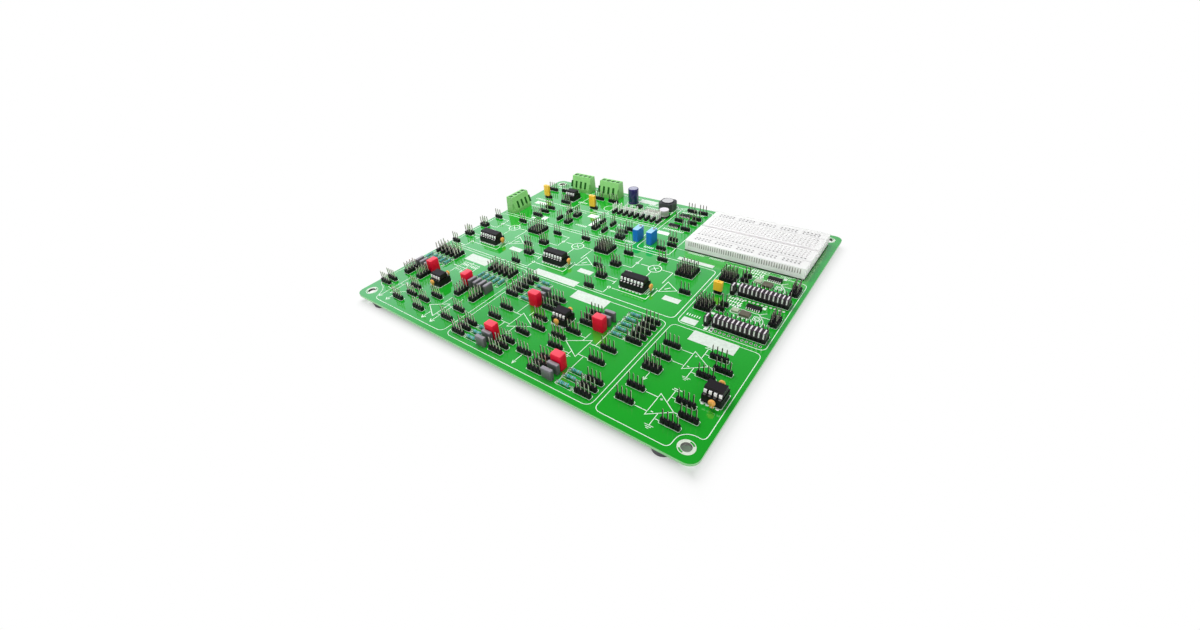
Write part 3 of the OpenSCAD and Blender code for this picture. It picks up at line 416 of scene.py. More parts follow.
# The right section has two data converters, with small lands and marks among
# their parts and slanted marks along the breadboard's foot.
PITCH = 2.54
along_header = (np.arange(12) - 5.5) * PITCH / PER_WIDE
bare_land = finish("bare_land", (0.80, 0.86, 0.76), 0.35, metal=0.3, scale=900.0)
art = [line((79.1, 36.9), (99.0, 36.9), (99.0, 68.6), (79.1, 68.6), closed=True, radius=4.0)]
art += [ticks(np.arange(left, right, 0.42), 69.2, 70.2, 0.3, 0.4)
    for left, right in ((67.4, 71.8), (73.6, 77.6), (85.6, 89.6), (92.4, 94.9))]
art += [line((60.0, 70.1), (97.0, 70.1), width=0.3)]
for y in (40.8, 56.6):
    across, columns = along_header[1:11] + 91.6, np.arange(85.4, 88.6, 0.62)
    art += [ticks(across, y + 3.4, y + 4.3, width=0.8), ticks(across[2:], y + 5.0, y + 5.9, -0.3)]
    art += [ticks(columns, y + height, y + height + 1.0, 0.2, 0.8) for height in (-1.4, 0.4, 9.0, 10.5, 12.0)]
    art += [line((87.6, y + 8.9), (93.8, y + 8.9), (95.4, y + 6.4), (95.4, y + 3.6), radius=2.0, width=0.45),
        line((93.6, y + 8.8), (95.0, y + 10.2), width=0.4),
        line((93.9, y + 8.2), (97.2, y + 8.2), width=0.4)]
    art += [borders([(88.6, y + 7.3), (91.05, y + 6.8), (93.8, y + 6.9)],
        [(5.4, 4.4), (6.8, 5.8), (4.6, 4.4)], width=0.4), borders([(93.8, y + 6.9)], (3.0, 2.6), width=0.5)]
    art += [boxes((84.2, 85.2, y + 3.2, y + 4.1), (88.0, 89.0, y + 9.6, y + 10.4),
        (93.4, 94.2, y + 11.4, y + 12.4))]
art += [ticks(along_header + 92.4, 37.6, 38.5, width=0.7), ticks(np.arange(80.0, 83.6, 0.6), 40.6, 41.5),
    boxes((85.4, 86.2, 37.3, 40.0), (86.6, 87.4, 37.3, 39.2))]
printed("converter_print", art, print_ink)
land_rows = [np.stack([92.4 + along_header, np.full(12, y - 2.75)], 1) for y in (40.8, 56.6)]
printed("converter_lands", [arcs(mm(row), 0.45, 0.8, 12) for row in land_rows], bare_land)

# The back sections hold the supply and a small reference circuit beside the
# breadboard. Their borders and boxes are printed in the same ink, and two bare
# lands under the coil and the tall can spread heat.
art = [bold((1.0, 64.8), (51.5, 64.8), (51.5, 98.0), (7.0, 98.0), radius=4.0),
    bold((53.0, 98.0), (53.0, 64.8), (63.3, 64.8), (63.3, 98.0), closed=True, radius=4.0)]
art += [boxes((4.8, 9.6, 76.4, 78.6), (15.5, 17.4, 66.2, 68.8), (32.4, 33.8, 70.2, 76.6),
    (28.4, 31.8, 75.8, 78.4), (53.6, 57.6, 76.3, 78.4), (12.0, 13.4, 65.6, 66.6), (42.0, 44.2, 86.6, 88.2))]
art += [arcs(mm([(31.5, 85.5), (17.5, 95.0), (36.1, 93.8)]), 5.2, 0.45, 32),
    bold((9.8, 79.6), (20.0, 79.6), (20.0, 93.6), radius=2.0),
    bold((22.6, 79.4), (32.6, 79.4), (32.6, 90.8), radius=2.0)]
art += [bold((left, y), (right, y)) for left, right, y in ((42.5, 54.5, 97.0), (42.5, 54.5, 95.9),
    (39.0, 50.0, 66.5), (33.8, 51.0, 80.6), (33.8, 51.0, 79.4), (17.6, 26.8, 78.0), (5.0, 9.0, 74.2))]
for x, y, wide in ((34.6, 86.9, 16.0), (34.6, 88.6, 14.0), (36.4, 90.4, 2.4), (41.8, 92.0, 9.4),
        (41.8, 94.2, 4.4), (3.0, 79.8, 7.0), (14.8, 79.0, 5.0), (27.6, 80.6, 5.6), (28.6, 68.4, 4.0),
        (40.8, 70.0, 2.0), (40.8, 75.0, 2.0), (54.2, 80.0, 6.6), (54.2, 94.0, 7.4), (4.0, 93.0, 6.0),
        (18.8, 84.6, 3.4), (55.0, 66.0, 3.0), (47.6, 66.4, 3.4)):
    art += [ticks(np.arange(x, x + wide, 0.62), y, y + 1.0, 0.25, 0.75)]
printed("power_print", art, print_ink)
HEAT_LAND_THICK = 0.02
heat_land = finish("heat_land", (0.42, 0.43, 0.36), 0.4, metal=0.2, scale=300.0, mottle=0.3)
printed("heat_lands", [boxes((42.4, 47.6, 87.4, 91.8), (35.4, 40.0, 87.4, 89.4))], heat_land, HEAT_LAND_THICK)

# Every section has a printed box for its label, in a thinner coat of ink that
# lets a little green through. The boxes are left bare.
label_ink = finish("label_ink", (0.66, 0.74, 0.67), 0.5, scale=700.0, mottle=0.12)
label_places = [(84.1, 94.3, 31.9, 35.9), (52.1, 62.2, 31.6, 35.6), (12.8, 21.6, 31.4, 35.2),
    (35.9, 50.3, 36.1, 38.9), (79.8, 83.4, 37.4, 39.7), (66.3, 76.5, 64.4, 66.0), (37.4, 43.6, 95.2, 98.0)]
label_places += [(18.5 + start, 22.9 + start, 43.5, 45.6) for start in UNIT_STARTS]
LABEL_THICK = 0.045
printed("bare_labels", [boxes(*label_places)], label_ink, LABEL_THICK)

# Four round feet of dark grey rubber are pressed under the corners, with a
# softened rim where they were moulded.
paint("rubber_feet", finish("foot_rubber", (0.06, 0.055, 0.065), 0.7, scale=900.0, relief=0.2), 0.3)

# Pin strips are rows of black plastic cells on a 2.54 mm pitch, with a square
# pin through each cell. They are listed with the place of their middle in per
# cent and how many cells go to the right and to the back.


def alike(wide, deep, *places):
    """Strips of one size: (x, y, wide, deep) for each place."""
    return [(x, y, wide, deep) for x, y in places]


filter_strips = alike(4, 1, (3.1, 8.7), (3.1, 11.0), (12.9, 5.3), (14.9, 8.7), (20.0, 8.7), (12.9, 11.9),
    (21.8, 5.1), (21.8, 11.8), (31.7, 10.7), (31.7, 6.3))
filter_strips += [(x, 31.8, 1, 4) for x in (2.1, 4.2, 6.2, 8.2, 10.2)]
filter_strips += [(x, 31.9, 1, 4) for x in (24.6, 26.5, 28.5, 30.4, 32.3)]
filter_strips += alike(2, 4, (4.1, 17.5), (9.6, 17.5), (25.8, 17.4), (31.4, 17.4))
amplifier_strips = [(x, y, 4, 1) for x in (38.6, 50.9, 62.5) for y in (3.7, 5.9, 8.2, 24.1, 26.4, 28.7)]
amplifier_strips += alike(4, 1, (38.6, 31.0), (38.6, 33.3), (56.8, 7.0))
amplifier_strips += [(74.9, y, 4, 1) for y in (3.7, 5.9, 8.2, 24.2, 26.5, 28.7, 31.0, 33.2)]
amplifier_strips += alike(4, 1, (41.7, 18.3), (41.7, 13.7), (51.8, 12.6), (53.8, 16.1), (51.9, 19.5),
    (59.8, 16.1), (61.6, 19.6), (61.4, 12.7), (71.8, 18.6), (71.8, 13.7))
inverter_strips = [(82.4, y, 4, 1) for y in (27.8, 23.1, 11.7, 7.2)] + [(82.4, 18.6, 4, 2)]
inverter_strips += alike(4, 1, (92.4, 29.1), (94.5, 25.7), (92.4, 22.2), (92.4, 13.0), (94.4, 9.7),
    (92.4, 6.3))
unit_strips = [(0.0, 38.6, 3, 1), (0.0, 44.9, 3, 2), (0.0, 52.4, 3, 2), (0.0, 59.7, 3, 1), (9.9, 61.2, 3, 1),
    (18.4, 58.8, 5, 5), (22.1, 49.0, 3, 1)]
multiplier_strips = [(start + x, y, wide, deep) for start in UNIT_STARTS for x, y, wide, deep in unit_strips]
converter_strips = alike(4, 4, (82.0, 46.2), (82.0, 61.6))
converter_strips += alike(2, 1, (85.6, 46.7), (85.7, 49.0), (85.7, 62.2), (85.7, 64.7))
converter_strips += alike(2, 4, (97.5, 48.3), (97.6, 63.3))
bridged_strips = [(92.4, 40.8, 12, 3), (92.4, 56.6, 12, 3), (85.3, 40.2, 1, 3), (85.3, 56.0, 1, 3)]
power_strips = alike(4, 1, (13.1, 68.0), (13.1, 71.7), (13.2, 75.1)) + alike(1, 3, (21.4, 69.7), (21.3, 75.5))
power_strips += alike(2, 3, (25.4, 69.0), (25.2, 74.7), (35.8, 69.8))
power_strips += alike(1, 3, (35.5, 74.5), (39.4, 69.3), (39.4, 74.5)) + alike(3, 2, (46.0, 67.6))
power_strips += alike(3, 1, (45.2, 71.2), (45.8, 73.8), (60.0, 67.1), (61.7, 70.6), (60.5, 73.9))
power_strips += alike(4, 1, (3.9, 89.8), (9.3, 90.5), (15.3, 81.8), (24.0, 90.5), (29.9, 90.5))
power_strips += alike(3, 1, (60.5, 95.7), (56.7, 95.7), (60.5, 90.7), (60.5, 87.3), (56.2, 87.2),
    (60.5, 82.3))
nine_strips = [(34.6 + step * 2.0125, 83.8, 1, 3) for step in range(9)]
cap_strips = [(6.7, 82.9, 3, 1), (26.8, 82.6, 3, 1), (82.25, 53.5, 2, 1)]


def cells(strips):
    """The middle of cell (i, j) is x + (i - (wide - 1) / 2) pitch, y + (j - (deep - 1) / 2) pitch."""
    return np.array([(x + (i - (wide - 1) / 2) * PITCH / PER_WIDE,
        y + (j - (deep - 1) / 2) * PITCH / PER_DEEP)
        for x, y, wide, deep in strips for i in range(wide) for j in range(deep)])


def carried(rings, rise):
    """Corner (j, i) is corner i of ring j at height rise j; quads join them, and both ends are closed."""
    rise = np.asarray(rise, float)
    rows, around = rings.shape[:2]
    corners = np.dstack([rings, np.broadcast_to(rise[:, None], (rows, around))]).reshape(-1, 3)
    j, i = np.meshgrid(np.arange(rows - 1) * around, np.arange(around), indexing="ij")
    after = (i + 1) % around
    quads = np.stack([j + i, j + after, j + around + after, j + around + i], -1).reshape(-1, 4)
    return corners, [quads, np.stack([np.arange(around)[::-1], np.arange(around) + (rows - 1) * around])]


def drawn(outline, shares, rise):
    """An outline times a share of its size at each height."""
    return carried(outline * np.array(shares)[:, None, None], rise)


def stamped(name, shape, places, materials, turns=0.0, along=None, sides=None, **how):
    """Copies a shape to every place in per cent: turned by a, then moved to (x, y, board top)."""
    corners, faces = shape
    places = mm(places) - MIDDLE
    a = np.radians(np.broadcast_to(turns, len(places)))[:, None]
    x = corners[:, 0] * np.cos(a) - corners[:, 1] * np.sin(a) + places[:, :1]
    y = corners[:, 0] * np.sin(a) + corners[:, 1] * np.cos(a) + places[:, 1:]
    z = np.broadcast_to(corners[:, 2] + BOARD_TOP, x.shape)
    every = [face for part in faces for face in copied(part, len(places), len(corners)).tolist()]
    if along is not None:
        how["along"] = np.tile(along, len(places))
    if sides is not None:
        how["pick"] = np.concatenate([np.tile(part, len(places)) for part in sides])
    return put(name, np.stack([x, y, z], -1).reshape(-1, 3), every, materials, **how)


def cut_square(half, cut):
    """Eight corners in order round: (-+ (half - cut), -+ half) and (-+ half, -+ (half - cut))."""
    a, b = half - cut, half
    return np.array([(-a, -b), (a, -b), (b, -a), (b, a), (a, b), (-a, b), (-b, a), (-b, -a)])


strip_black = finish("strip_black", (0.009, 0.009, 0.010), 0.45, scale=900.0, mottle=0.1, relief=0.1,
    sheen=0.25)
CELL_HIGH, CELL_CUT, BORDER_ROOM = 2.5, 0.55, 0.8
cell = drawn(cut_square(PITCH / 2, CELL_CUT), (1.0, 1.0, 0.92), (0.0, CELL_HIGH - 0.2, CELL_HIGH))
strip_groups = {"filter": filter_strips, "amplifier": amplifier_strips, "inverter": inverter_strips,
    "multiplier": multiplier_strips, "converter": converter_strips + bridged_strips,
    "power": power_strips + nine_strips + cap_strips}
for section, strips in strip_groups.items():
    stamped(section + "_cells", cell, cells(strips), [strip_black], stands_for=[section + "_strips"],
        slot="strip_black")
    bordered = np.array(strips, float)
    printed(section + "_strip_borders", [borders(bordered[:, :2], bordered[:, 2:] * PITCH + BORDER_ROOM)],
        print_ink)

# Pins are square brass wire, cut to a blunt point. On the free pins the sides
# facing front and back are painted dark as shade, and the other two bright as
# lit plating. The nine short strips by the coil have silver ones, and pins
# under a cap are cut short.
plating = finish("pin_plating", (1.0, 0.95, 0.83), 0.25, metal=0.4, scale=500.0)
# Painted shade for the front and back sides of the free pins.
pin_shaded_side = finish("pin_painted_shade", (0.025, 0.022, 0.02), 0.4, metal=0.3, scale=500.0, sheen=0.2)
silver = finish("silver_plating", (1.0, 0.98, 0.95), 0.35, scale=500.0)
SHADED_PIN_SIDES = [[1, 0] * 4, [0, 0]]
PIN_HALF, PIN_HIGH, CAPPED_PIN_HIGH, POINT_HIGH = 0.28, 8.6, 6.2, 0.75


def square(half):
    """Four corners in order round: (-+ half, -+ half)."""
    return np.array([(-half, -half), (half, -half), (half, half), (-half, half)])


def pin(high):
    """A square pin with a blunt point: its outline full size up to the point, and 0.42 of it at the tip."""
    return drawn(square(PIN_HALF), (1.0, 1.0, 0.42), (0.0, high - POINT_HIGH, high))


bridged_back = [(x, y + PITCH / PER_DEEP, wide, 1) for x, y, wide, deep in bridged_strips]
bridged_front = [(x, y - PITCH / 2 / PER_DEEP, wide, 2) for x, y, wide, deep in bridged_strips]
cap_cells = cells(cap_strips)
free_strips = filter_strips + amplifier_strips + inverter_strips + multiplier_strips + converter_strips
free_strips += power_strips + bridged_back
stamped("free_pins", pin(PIN_HIGH), np.vstack([cells(free_strips), cap_cells[[2, 5]]]), [plating, pin_shaded_side],
    sides=SHADED_PIN_SIDES, stands_for=["pins"], slot="pin_metal")
stamped("silver_pins", pin(PIN_HIGH), cells(nine_strips), [silver], slot="pin_metal")
stamped("capped_pins", pin(CAPPED_PIN_HIGH), np.vstack([cells(bridged_front), cap_cells[[0, 1, 3, 4, 6, 7]]]),
    [plating], slot="pin_metal")
paint("solder_joints", finish("solder", (0.7, 0.71, 0.72), 0.28, metal=1.0))

# Chips are black moulded packages pushed into black sockets by two rows of
# tinned legs. Each leg carries a painted reflection by height: bright at the
# shoulder, painted dark where it dips, and bright at the foot. The sockets show
# a spring contact under each leg, and small chips stand straight on the board.
CHIPS = [(17.1, 17.7, 4), (56.9, 22.1, 4), (96.2, 17.7, 4), (15.1, 86.5, 4), (12.1, 45.2, 7), (37.8, 45.2, 7),
    (63.6, 45.2, 7)]
chip_black = finish("chip_black", (0.016, 0.013, 0.015), 0.5, scale=1500.0, mottle=0.1, relief=0.15,
    sheen=0.3)


def ramp(tree, share, stops):
    """A colour ramp over a socket's value, with a grey or a colour at each stop."""
    node = fresh(tree, "ValToRGB")[0]
    for extra in stops[2:]:
        node.color_ramp.elements.new(1.0)
    for element, (at, tone) in zip(node.color_ramp.elements, stops):
        element.position, element.color = at, (*np.broadcast_to(tone, 3), 1.0)
    tree.links.new(share, node.inputs["Fac"])
    return node


leg_metal = finish("tinned_leg", (1.0, 0.98, 0.97), 0.35, metal=0.1)
bent_leg = finish("bent_leg", (1.0, 0.98, 0.97), 0.35, metal=0.1)
leg_tree = bent_leg.node_tree
leg_place, leg_height = fresh(leg_tree, "TexCoord", "SeparateXYZ")
leg_share = reckon(leg_tree, "MULTIPLY_ADD", leg_height.outputs["Z"], 250.0, -2.6)
# Painted reflection: the legs go dark in a band by height.
leg_painted_reflection = ramp(leg_tree, leg_share, [(0.2, 0.9), (0.36, 0.12), (0.58, 0.12), (0.66, 1.0)])
wired(leg_tree, (leg_place, "Object", leg_height, 0), (leg_painted_reflection, "Color", leg_tree.nodes["grain"], "Colour"))
paint("chip_sockets", finish("socket_black", (0.009, 0.009, 0.010), 0.5, scale=900.0, mottle=0.1, relief=0.1,
    sheen=0.25), 0.1)
paint("chips", chip_black, 0.15)
paint("chip_legs", bent_leg)
paint("small_chips", chip_black, 0.08)
paint("small_chip_legs", silver)
SOCKET_HALF, LAND_ROW, CHIP_BORDER_DEEP = 4.42, 6.0, 11.4
chip_rows = np.array([(x + (leg - (legs - 1) / 2) * PITCH / PER_WIDE, y, side)
    for x, y, legs in CHIPS for leg in range(legs) for side in (-1, 1)])


def moulded(wide, deep, rise, inset, radius, steps=2):
    """A box with rounded uprights: core corner + (radius - inset) (cos a, sin a) at each height."""
    a = np.radians(np.linspace(0, 90, steps + 1)[None] + np.arange(4)[:, None] * 90).ravel()
    side = np.repeat([(1, 1), (-1, 1), (-1, -1), (1, -1)], steps + 1, axis=0)
    core = side * (np.array([wide, deep]) / 2 - radius)
    reach = (radius - np.asarray(inset, float))[:, None, None]
    return carried(core[None] + reach * np.stack([np.cos(a), np.sin(a)], 1)[None], rise)


contact = moulded(1.15, 0.9, (4.5, 4.54, 4.56), (0.0, 0.0, 0.08), 0.2)
contact_places = chip_rows[:, :2] + chip_rows[:, 2:] * (0.0, SOCKET_HALF / PER_DEEP)
on_long_chip = np.repeat([legs == 7 for x, y, legs in CHIPS], [legs * 2 for x, y, legs in CHIPS])
stamped("socket_contacts", contact, contact_places[on_long_chip], [leg_metal], slot="leg_metal")
dull_contact = finish("dull_contact", (0.16, 0.15, 0.15), 0.5, metal=0.3)
stamped("dull_socket_contacts", contact, contact_places[~on_long_chip], [dull_contact], slot="leg_metal")
chip_frames = np.array(CHIPS)
frame_sizes = np.stack([chip_frames[:, 2] * PITCH + 1.2, np.full(7, CHIP_BORDER_DEEP)], 1)
front_lands = chip_rows[chip_rows[:, 2] < 0, :2] - (0.0, LAND_ROW / PER_DEEP)
printed("chip_borders", [borders(chip_frames[:, :2], frame_sizes, width=0.4),
    arcs(mm(front_lands), 0.5, 0.9, 10)], print_ink)

# Disc capacitors are lens-shaped ceramic blanks dipped in orange lacquer,
# which runs a little way down both leads.
disc_orange = finish("dipped_orange", (0.84, 0.40, 0.08), 0.35, coat=0.5, mottle=0.08, relief=0.12)


def turned(profile, sides):
    """A profile of (radius, height) turned about Z: (r cos a, r sin a, z)."""
    radius, rise = np.array(profile, float).T
    a = np.arange(sides) * 2 * np.pi / sides
    return carried(radius[:, None, None] * np.stack([np.cos(a), np.sin(a)], 1)[None], rise)


def tipped(shape, lift=0.0):
    """The same shape laid on its side, (x, y, z) to (x, -z, y), and lifted."""
    x, y, z = shape[0].T
    return np.stack([x, -z, y + lift], 1), shape[1]


def shifted(shape, *by):
    """The same shape moved: (x, y, z) + by, in mm."""
    return shape[0] + np.array(by), shape[1]


DISC_RADIUS, DISC_HALF_THICK, DISC_LIFT, LEAD_HALF = 1.8, 1.1, 4.1, 0.6
through = np.linspace(-1, 1, 9)
disc_radii = DISC_RADIUS * np.sqrt(1 - np.abs(through) ** 3 * 0.985)
disc = tipped(turned(np.stack([disc_radii, through * DISC_HALF_THICK], 1), 24), DISC_LIFT)
drip = turned([(0.3, 1.1), (0.42, 1.3), (0.5, 2.0), (0.7, 2.7), (0.3, 3.0)], 10)
discs = [(17.1, 14.7), (17.1, 20.7), (57.1, 19.1), (57.1, 25.0), (96.7, 14.5), (96.2, 20.7), (16.8, 45.1),
    (42.5, 45.1), (68.3, 45.1)]
stamped("dipped_discs", joined(disc, shifted(drip, -LEAD_HALF, 0, 0), shifted(drip, LEAD_HALF, 0, 0)), discs,
    [disc_orange], turns=[0.0] * 6 + [90.0] * 3, stands_for=["disc_capacitors"], slot="disc_orange",
    smooth=60)

# Film capacitors are moulded boxes potted with resin, red for large values
# and grey for small ones. They stand on the board on two wires.
# Tops take a paler red as a painted highlight, and the sides a deeper red as painted shade.
film_red = facing_tones(finish("film_red", (0.6, 0.0, 0.03), 0.4, relief=0.06, sheen=0.15), (0.86, 0.09, 0.13),
    (0.76, 0.0, 0.028))
# The grey ones are painted lighter on top and darker on the sides: painted light and shade.
film_grey = facing_tones(finish("film_grey", (0.16, 0.16, 0.17), 0.4, coat=0.2, mottle=0.08, relief=0.08),
    (0.28, 0.27, 0.30), (0.10, 0.10, 0.105))
reds = np.array([(10.35, 21.3, 90), (24.5, 21.5, 90), (46.7, 7.6, 0), (66.2, 7.7, 0), (46.9, 23.9, 0),
    (66.2, 24.0, 0)])
greys = [(x, 21.3, 90) for x in (4.2, 6.2, 8.2)] + [(x, 21.5, 90) for x in (26.5, 28.5, 30.4, 32.3)]
greys += [(x, y, 0) for x in (46.7, 66.2) for y in (3.5, 5.75)]
greys += [(46.9, 26.4, 0), (46.9, 28.7, 0), (66.2, 26.5, 0), (66.2, 28.7, 0)]
FILM_LONG, RED_THICK, RED_HIGH, GREY_THICK, GREY_HIGH = 7.2, 5.2, 10.0, 2.5, 6.5
rolled_edge = (0.2, 0.05, 0.0, 0.0, 0.12, 0.4)
for colour, places, thick, high, radius, made in (("red", reds, RED_THICK, RED_HIGH, 0.5, film_red),
        ("grey", np.array(greys), GREY_THICK, GREY_HIGH, 0.45, film_grey)):
    film_box = moulded(FILM_LONG, thick, (0.0, 0.1, 0.3, high - 0.5, high - 0.15, high), rolled_edge, radius)
    stamped(colour + "_film_boxes", film_box, places[:, :2], [made], turns=places[:, 2],
        stands_for=[colour + "_capacitors"], slot="film_" + colour, smooth=50)

# Resistors are ceramic rods with a cap on each end, dipped in teal lacquer and
# ringed with five colour bands. They lie between two bent wires.
TEAL, ROD_HALF, WIRE_REACH = (0.09, 0.50, 0.47), 3.15, 4.9
teal = finish("resistor_teal", TEAL, 0.35, coat=0.4, scale=900.0)
band_stops = [(0.0, TEAL), (0.13, (0.25, 0.05, 0.02)), (0.18, TEAL), (0.3, (0.01, 0.01, 0.01)), (0.36, TEAL),
    (0.44, (0.01, 0.01, 0.01)), (0.5, TEAL), (0.58, (0.3, 0.08, 0.02)), (0.64, TEAL),
    (0.81, (0.28, 0.06, 0.03)), (0.88, TEAL)]
teal_tree = teal.node_tree
along_rod = fresh(teal_tree, "Attribute")[0]
along_rod.attribute_name = "along"
colour_bands = ramp(teal_tree, along_rod.outputs["Fac"], band_stops)
colour_bands.color_ramp.interpolation = "CONSTANT"
wired(teal_tree, (colour_bands, "Color", teal_tree.nodes["grain"], "Colour"))
rod = tipped(turned([(0.35, -ROD_HALF), (0.75, -3.1), (1.0, -2.9), (1.1, -2.5), (1.07, -2.1), (0.92, -1.6),
    (0.92, 1.6), (1.07, 2.1), (1.1, 2.5), (1.0, 2.9), (0.75, 3.1), (0.35, ROD_HALF)], 16), 1.4)
resistors = np.array([(x, 26.8, 90) for x in (2.1, 4.2, 6.2, 8.2, 10.2, 24.6, 26.5, 28.5, 30.4, 32.3)]
    + [(x, y, 0) for x, ys in ((43.0, (3.7, 5.9, 8.2)), (43.2, (24.1, 26.3, 28.5, 30.8, 33.0)),
        (70.4, (3.6, 6.0, 8.2)), (70.5, (24.2, 26.4, 28.6, 30.9, 33.2))) for y in ys])
stamped("banded_resistors", rod, resistors[:, :2], [teal], turns=resistors[:, 2] - 90,
    along=(ROD_HALF + rod[0][:, 1]) / (2 * ROD_HALF), stands_for=["resistors"], slot="resistor_teal",
    smooth=50)
paint("part_leads", finish("lead_wire", (0.85, 0.85, 0.83), 0.25, metal=1.0))
long_side = np.where(resistors[:, 2:] == 0, [[11.4, 2.9]], [[2.9, 11.4]])
wire_reach = np.where(resistors[:, 2:] == 0, [[WIRE_REACH / PER_WIDE, 0.0]], [[0.0, WIRE_REACH / PER_DEEP]])
wire_lands = np.vstack([resistors[:, :2] - wire_reach, resistors[:, :2] + wire_reach])
printed("resistor_borders", [borders(resistors[:, :2], long_side, width=0.25),
    arcs(mm(wire_lands), 0.45, 0.5, 12)], print_ink)

# Terminal blocks are green plastic with a slotted steel screw in the top of
# each pole, a brass clamp that the screw lifts, and a contact bar below it.
# Deep grooves part the poles on the sloping front. Dark green plates laid over
# them are painted shade, wider than the grooves.
terminal_green = finish("terminal_green", (0.22, 0.56, 0.16), 0.4, relief=0.08)
paint("terminal_housings", terminal_green, 0.15)
POLE_PITCH, GROOVE_SHADE_HALF, GROOVE_SHADE_LOW, GROOVE_SHADE_TOP = 5.08, 1.1, 4.0, 9.8
groove_shade_ends = [[(-GROOVE_SHADE_HALF, y), (GROOVE_SHADE_HALF, y), (GROOVE_SHADE_HALF, y + 0.1), (-GROOVE_SHADE_HALF, y + 0.1)]
    for y in (-4.94, -3.34)]
groove_shade = carried(np.array(groove_shade_ends), (GROOVE_SHADE_LOW, GROOVE_SHADE_TOP))
blocks = [(3.2, 69.8, 90, 0.5), (14.1, 95.3, 0, -0.5), (26.1, 95.3, 0, -0.5)]


def pole_row(x, y, turn, aside):
    """Four places a pole pitch apart: (x, y) + s (cos turn, sin turn), in per cent."""
    along, turn = (np.arange(4) - 1.5 + aside) * POLE_PITCH, math.radians(turn)
    return np.stack([x + along * math.cos(turn) / PER_WIDE, y + along * math.sin(turn) / PER_DEEP], 1)


groove_shade_places = np.vstack([pole_row(*block) for block in blocks])
# Painted shade: dark plates over the grooves.
groove_shade_green = finish("groove_shade_green", (0.012, 0.10, 0.012), 0.7, sheen=0.1)
stamped("groove_shadows", groove_shade, groove_shade_places, [groove_shade_green], turns=np.repeat([90, 0, 0], 4),
    slot="terminal_green")
screw_steel = finish("screw_steel", (0.78, 0.79, 0.80), 0.3, metal=1.0)
clamp_brass = finish("clamp_brass", (0.78, 0.70, 0.50), 0.32, metal=1.0)
paint("contact_bars", clamp_brass)
for number in range(1, 13):
    paint("terminal_screw_%d" % number, screw_steel, 0.1)
    paint("wire_clamp_%d" % number, clamp_brass, 0.08)

# Yellow caps pull off two pins each and have a slot in the top. Black bridging
# caps join pairs of pins on the converter headers. A pale bar on the top and
# front of each stands for its spring and is painted bright as the cap's
# highlight.
cap_yellow = finish("cap_yellow", (0.98, 0.56, 0.035), 0.35, coat=0.6, relief=0.05)
for number in (1, 2, 3):
    paint("yellow_cap_%d" % number, cap_yellow, 0.2)
paint("bridge_caps", finish("bridge_black", (0.045, 0.032, 0.042), 0.4, scale=900.0, mottle=0.1, relief=0.1,
    sheen=0.3), 0.12)
top_bar = moulded(0.8, 4.1, (6.68, 6.74, 6.78), (0.0, 0.0, 0.1), 0.3)
front_bar = shifted(moulded(0.9, 0.4, (3.1, 3.2, 6.6, 6.7), (0.1, 0.0, 0.0, 0.1), 0.12), 0.0, -2.3, 0.0)
bridge_places = cells([(x, y - PITCH / 2 / PER_DEEP, wide, 1) for x, y, wide, deep in bridged_strips])
# The bright spring bars are partly the real spring, painted bright as a highlight.
spring_metal_highlight = finish("spring_metal_highlight", (0.88, 0.84, 0.86), 0.35, metal=0.2)
stamped("bridge_springs", joined(top_bar, front_bar), bridge_places, [spring_metal_highlight], slot="leg_metal")

# Surface parts beside the converters are cream and brown ceramic blocks with
# their lands under them, and a small black part stands by the tall can.
cream = finish("cream_ceramic", (0.42, 0.50, 0.36), 0.5, scale=900.0, mottle=0.1)
brown = finish("brown_ceramic", (0.13, 0.12, 0.085), 0.45, scale=900.0, mottle=0.1)
edge_in = (0.0, 0.0, 0.12)
stamped("cream_parts", moulded(4.4, 3.5, (0.0, 1.1, 1.2), edge_in, 0.15), [(88.6, 48.3), (88.6, 63.8)],
    [cream], stands_for=["small_parts"], slot="small_part_brown")
stamped("brown_parts", moulded(6.0, 5.0, (0.0, 1.4, 1.5), edge_in, 0.15), [(91.0, 47.8), (91.1, 63.2)],
    [brown], slot="small_part_brown")
stamped("black_part", moulded(4.9, 3.5, (0.0, 2.25, 2.4), edge_in, 0.15), [(40.0, 91.0)], [chip_black],
    slot="chip_grey")

# Two trimmers are blue moulded boxes with a small slotted brass screw near the
# back of the top.
# The top is painted a paler blue and the sides a deeper blue: painted light and shade.
paint("trimmer_bodies", facing_tones(finish("trimmer_blue", (0.02, 0.2, 0.6), 0.35, coat=0.2, relief=0.05),
    (0.30, 0.58, 0.82), (0.004, 0.165, 0.64)), 0.25)
for number in (1, 2):
    paint("trimmer_screw_%d" % number, clamp_brass, 0.08)

# The coil is a grey ferrite drum in a dark square case. The tall can has a
# shrunk navy sleeve, and the low can stands on a black plastic foot.
paint("coil", finish("coil_black", (0.05, 0.05, 0.055), 0.5, scale=500.0, mottle=0.1, relief=0.2), 0.4)
COIL, TALL_CAN, LOW_CAN = (48.6, 94.6), (36.1, 93.8), (50.3, 88.5)
ferrite = finish("ferrite_grey", (0.50, 0.50, 0.51), 0.55, scale=900.0, mottle=0.1, relief=0.2)
stamped("coil_face", turned([(4.95, 6.8), (4.95, 7.6), (4.8, 7.78), (4.2, 7.84), (0.4, 7.84)], 48), [COIL],
    [ferrite], slot="coil_black", smooth=40)
sleeve_navy = finish("sleeve_navy", (0.016, 0.008, 0.105), 0.25, coat=0.6, scale=500.0)
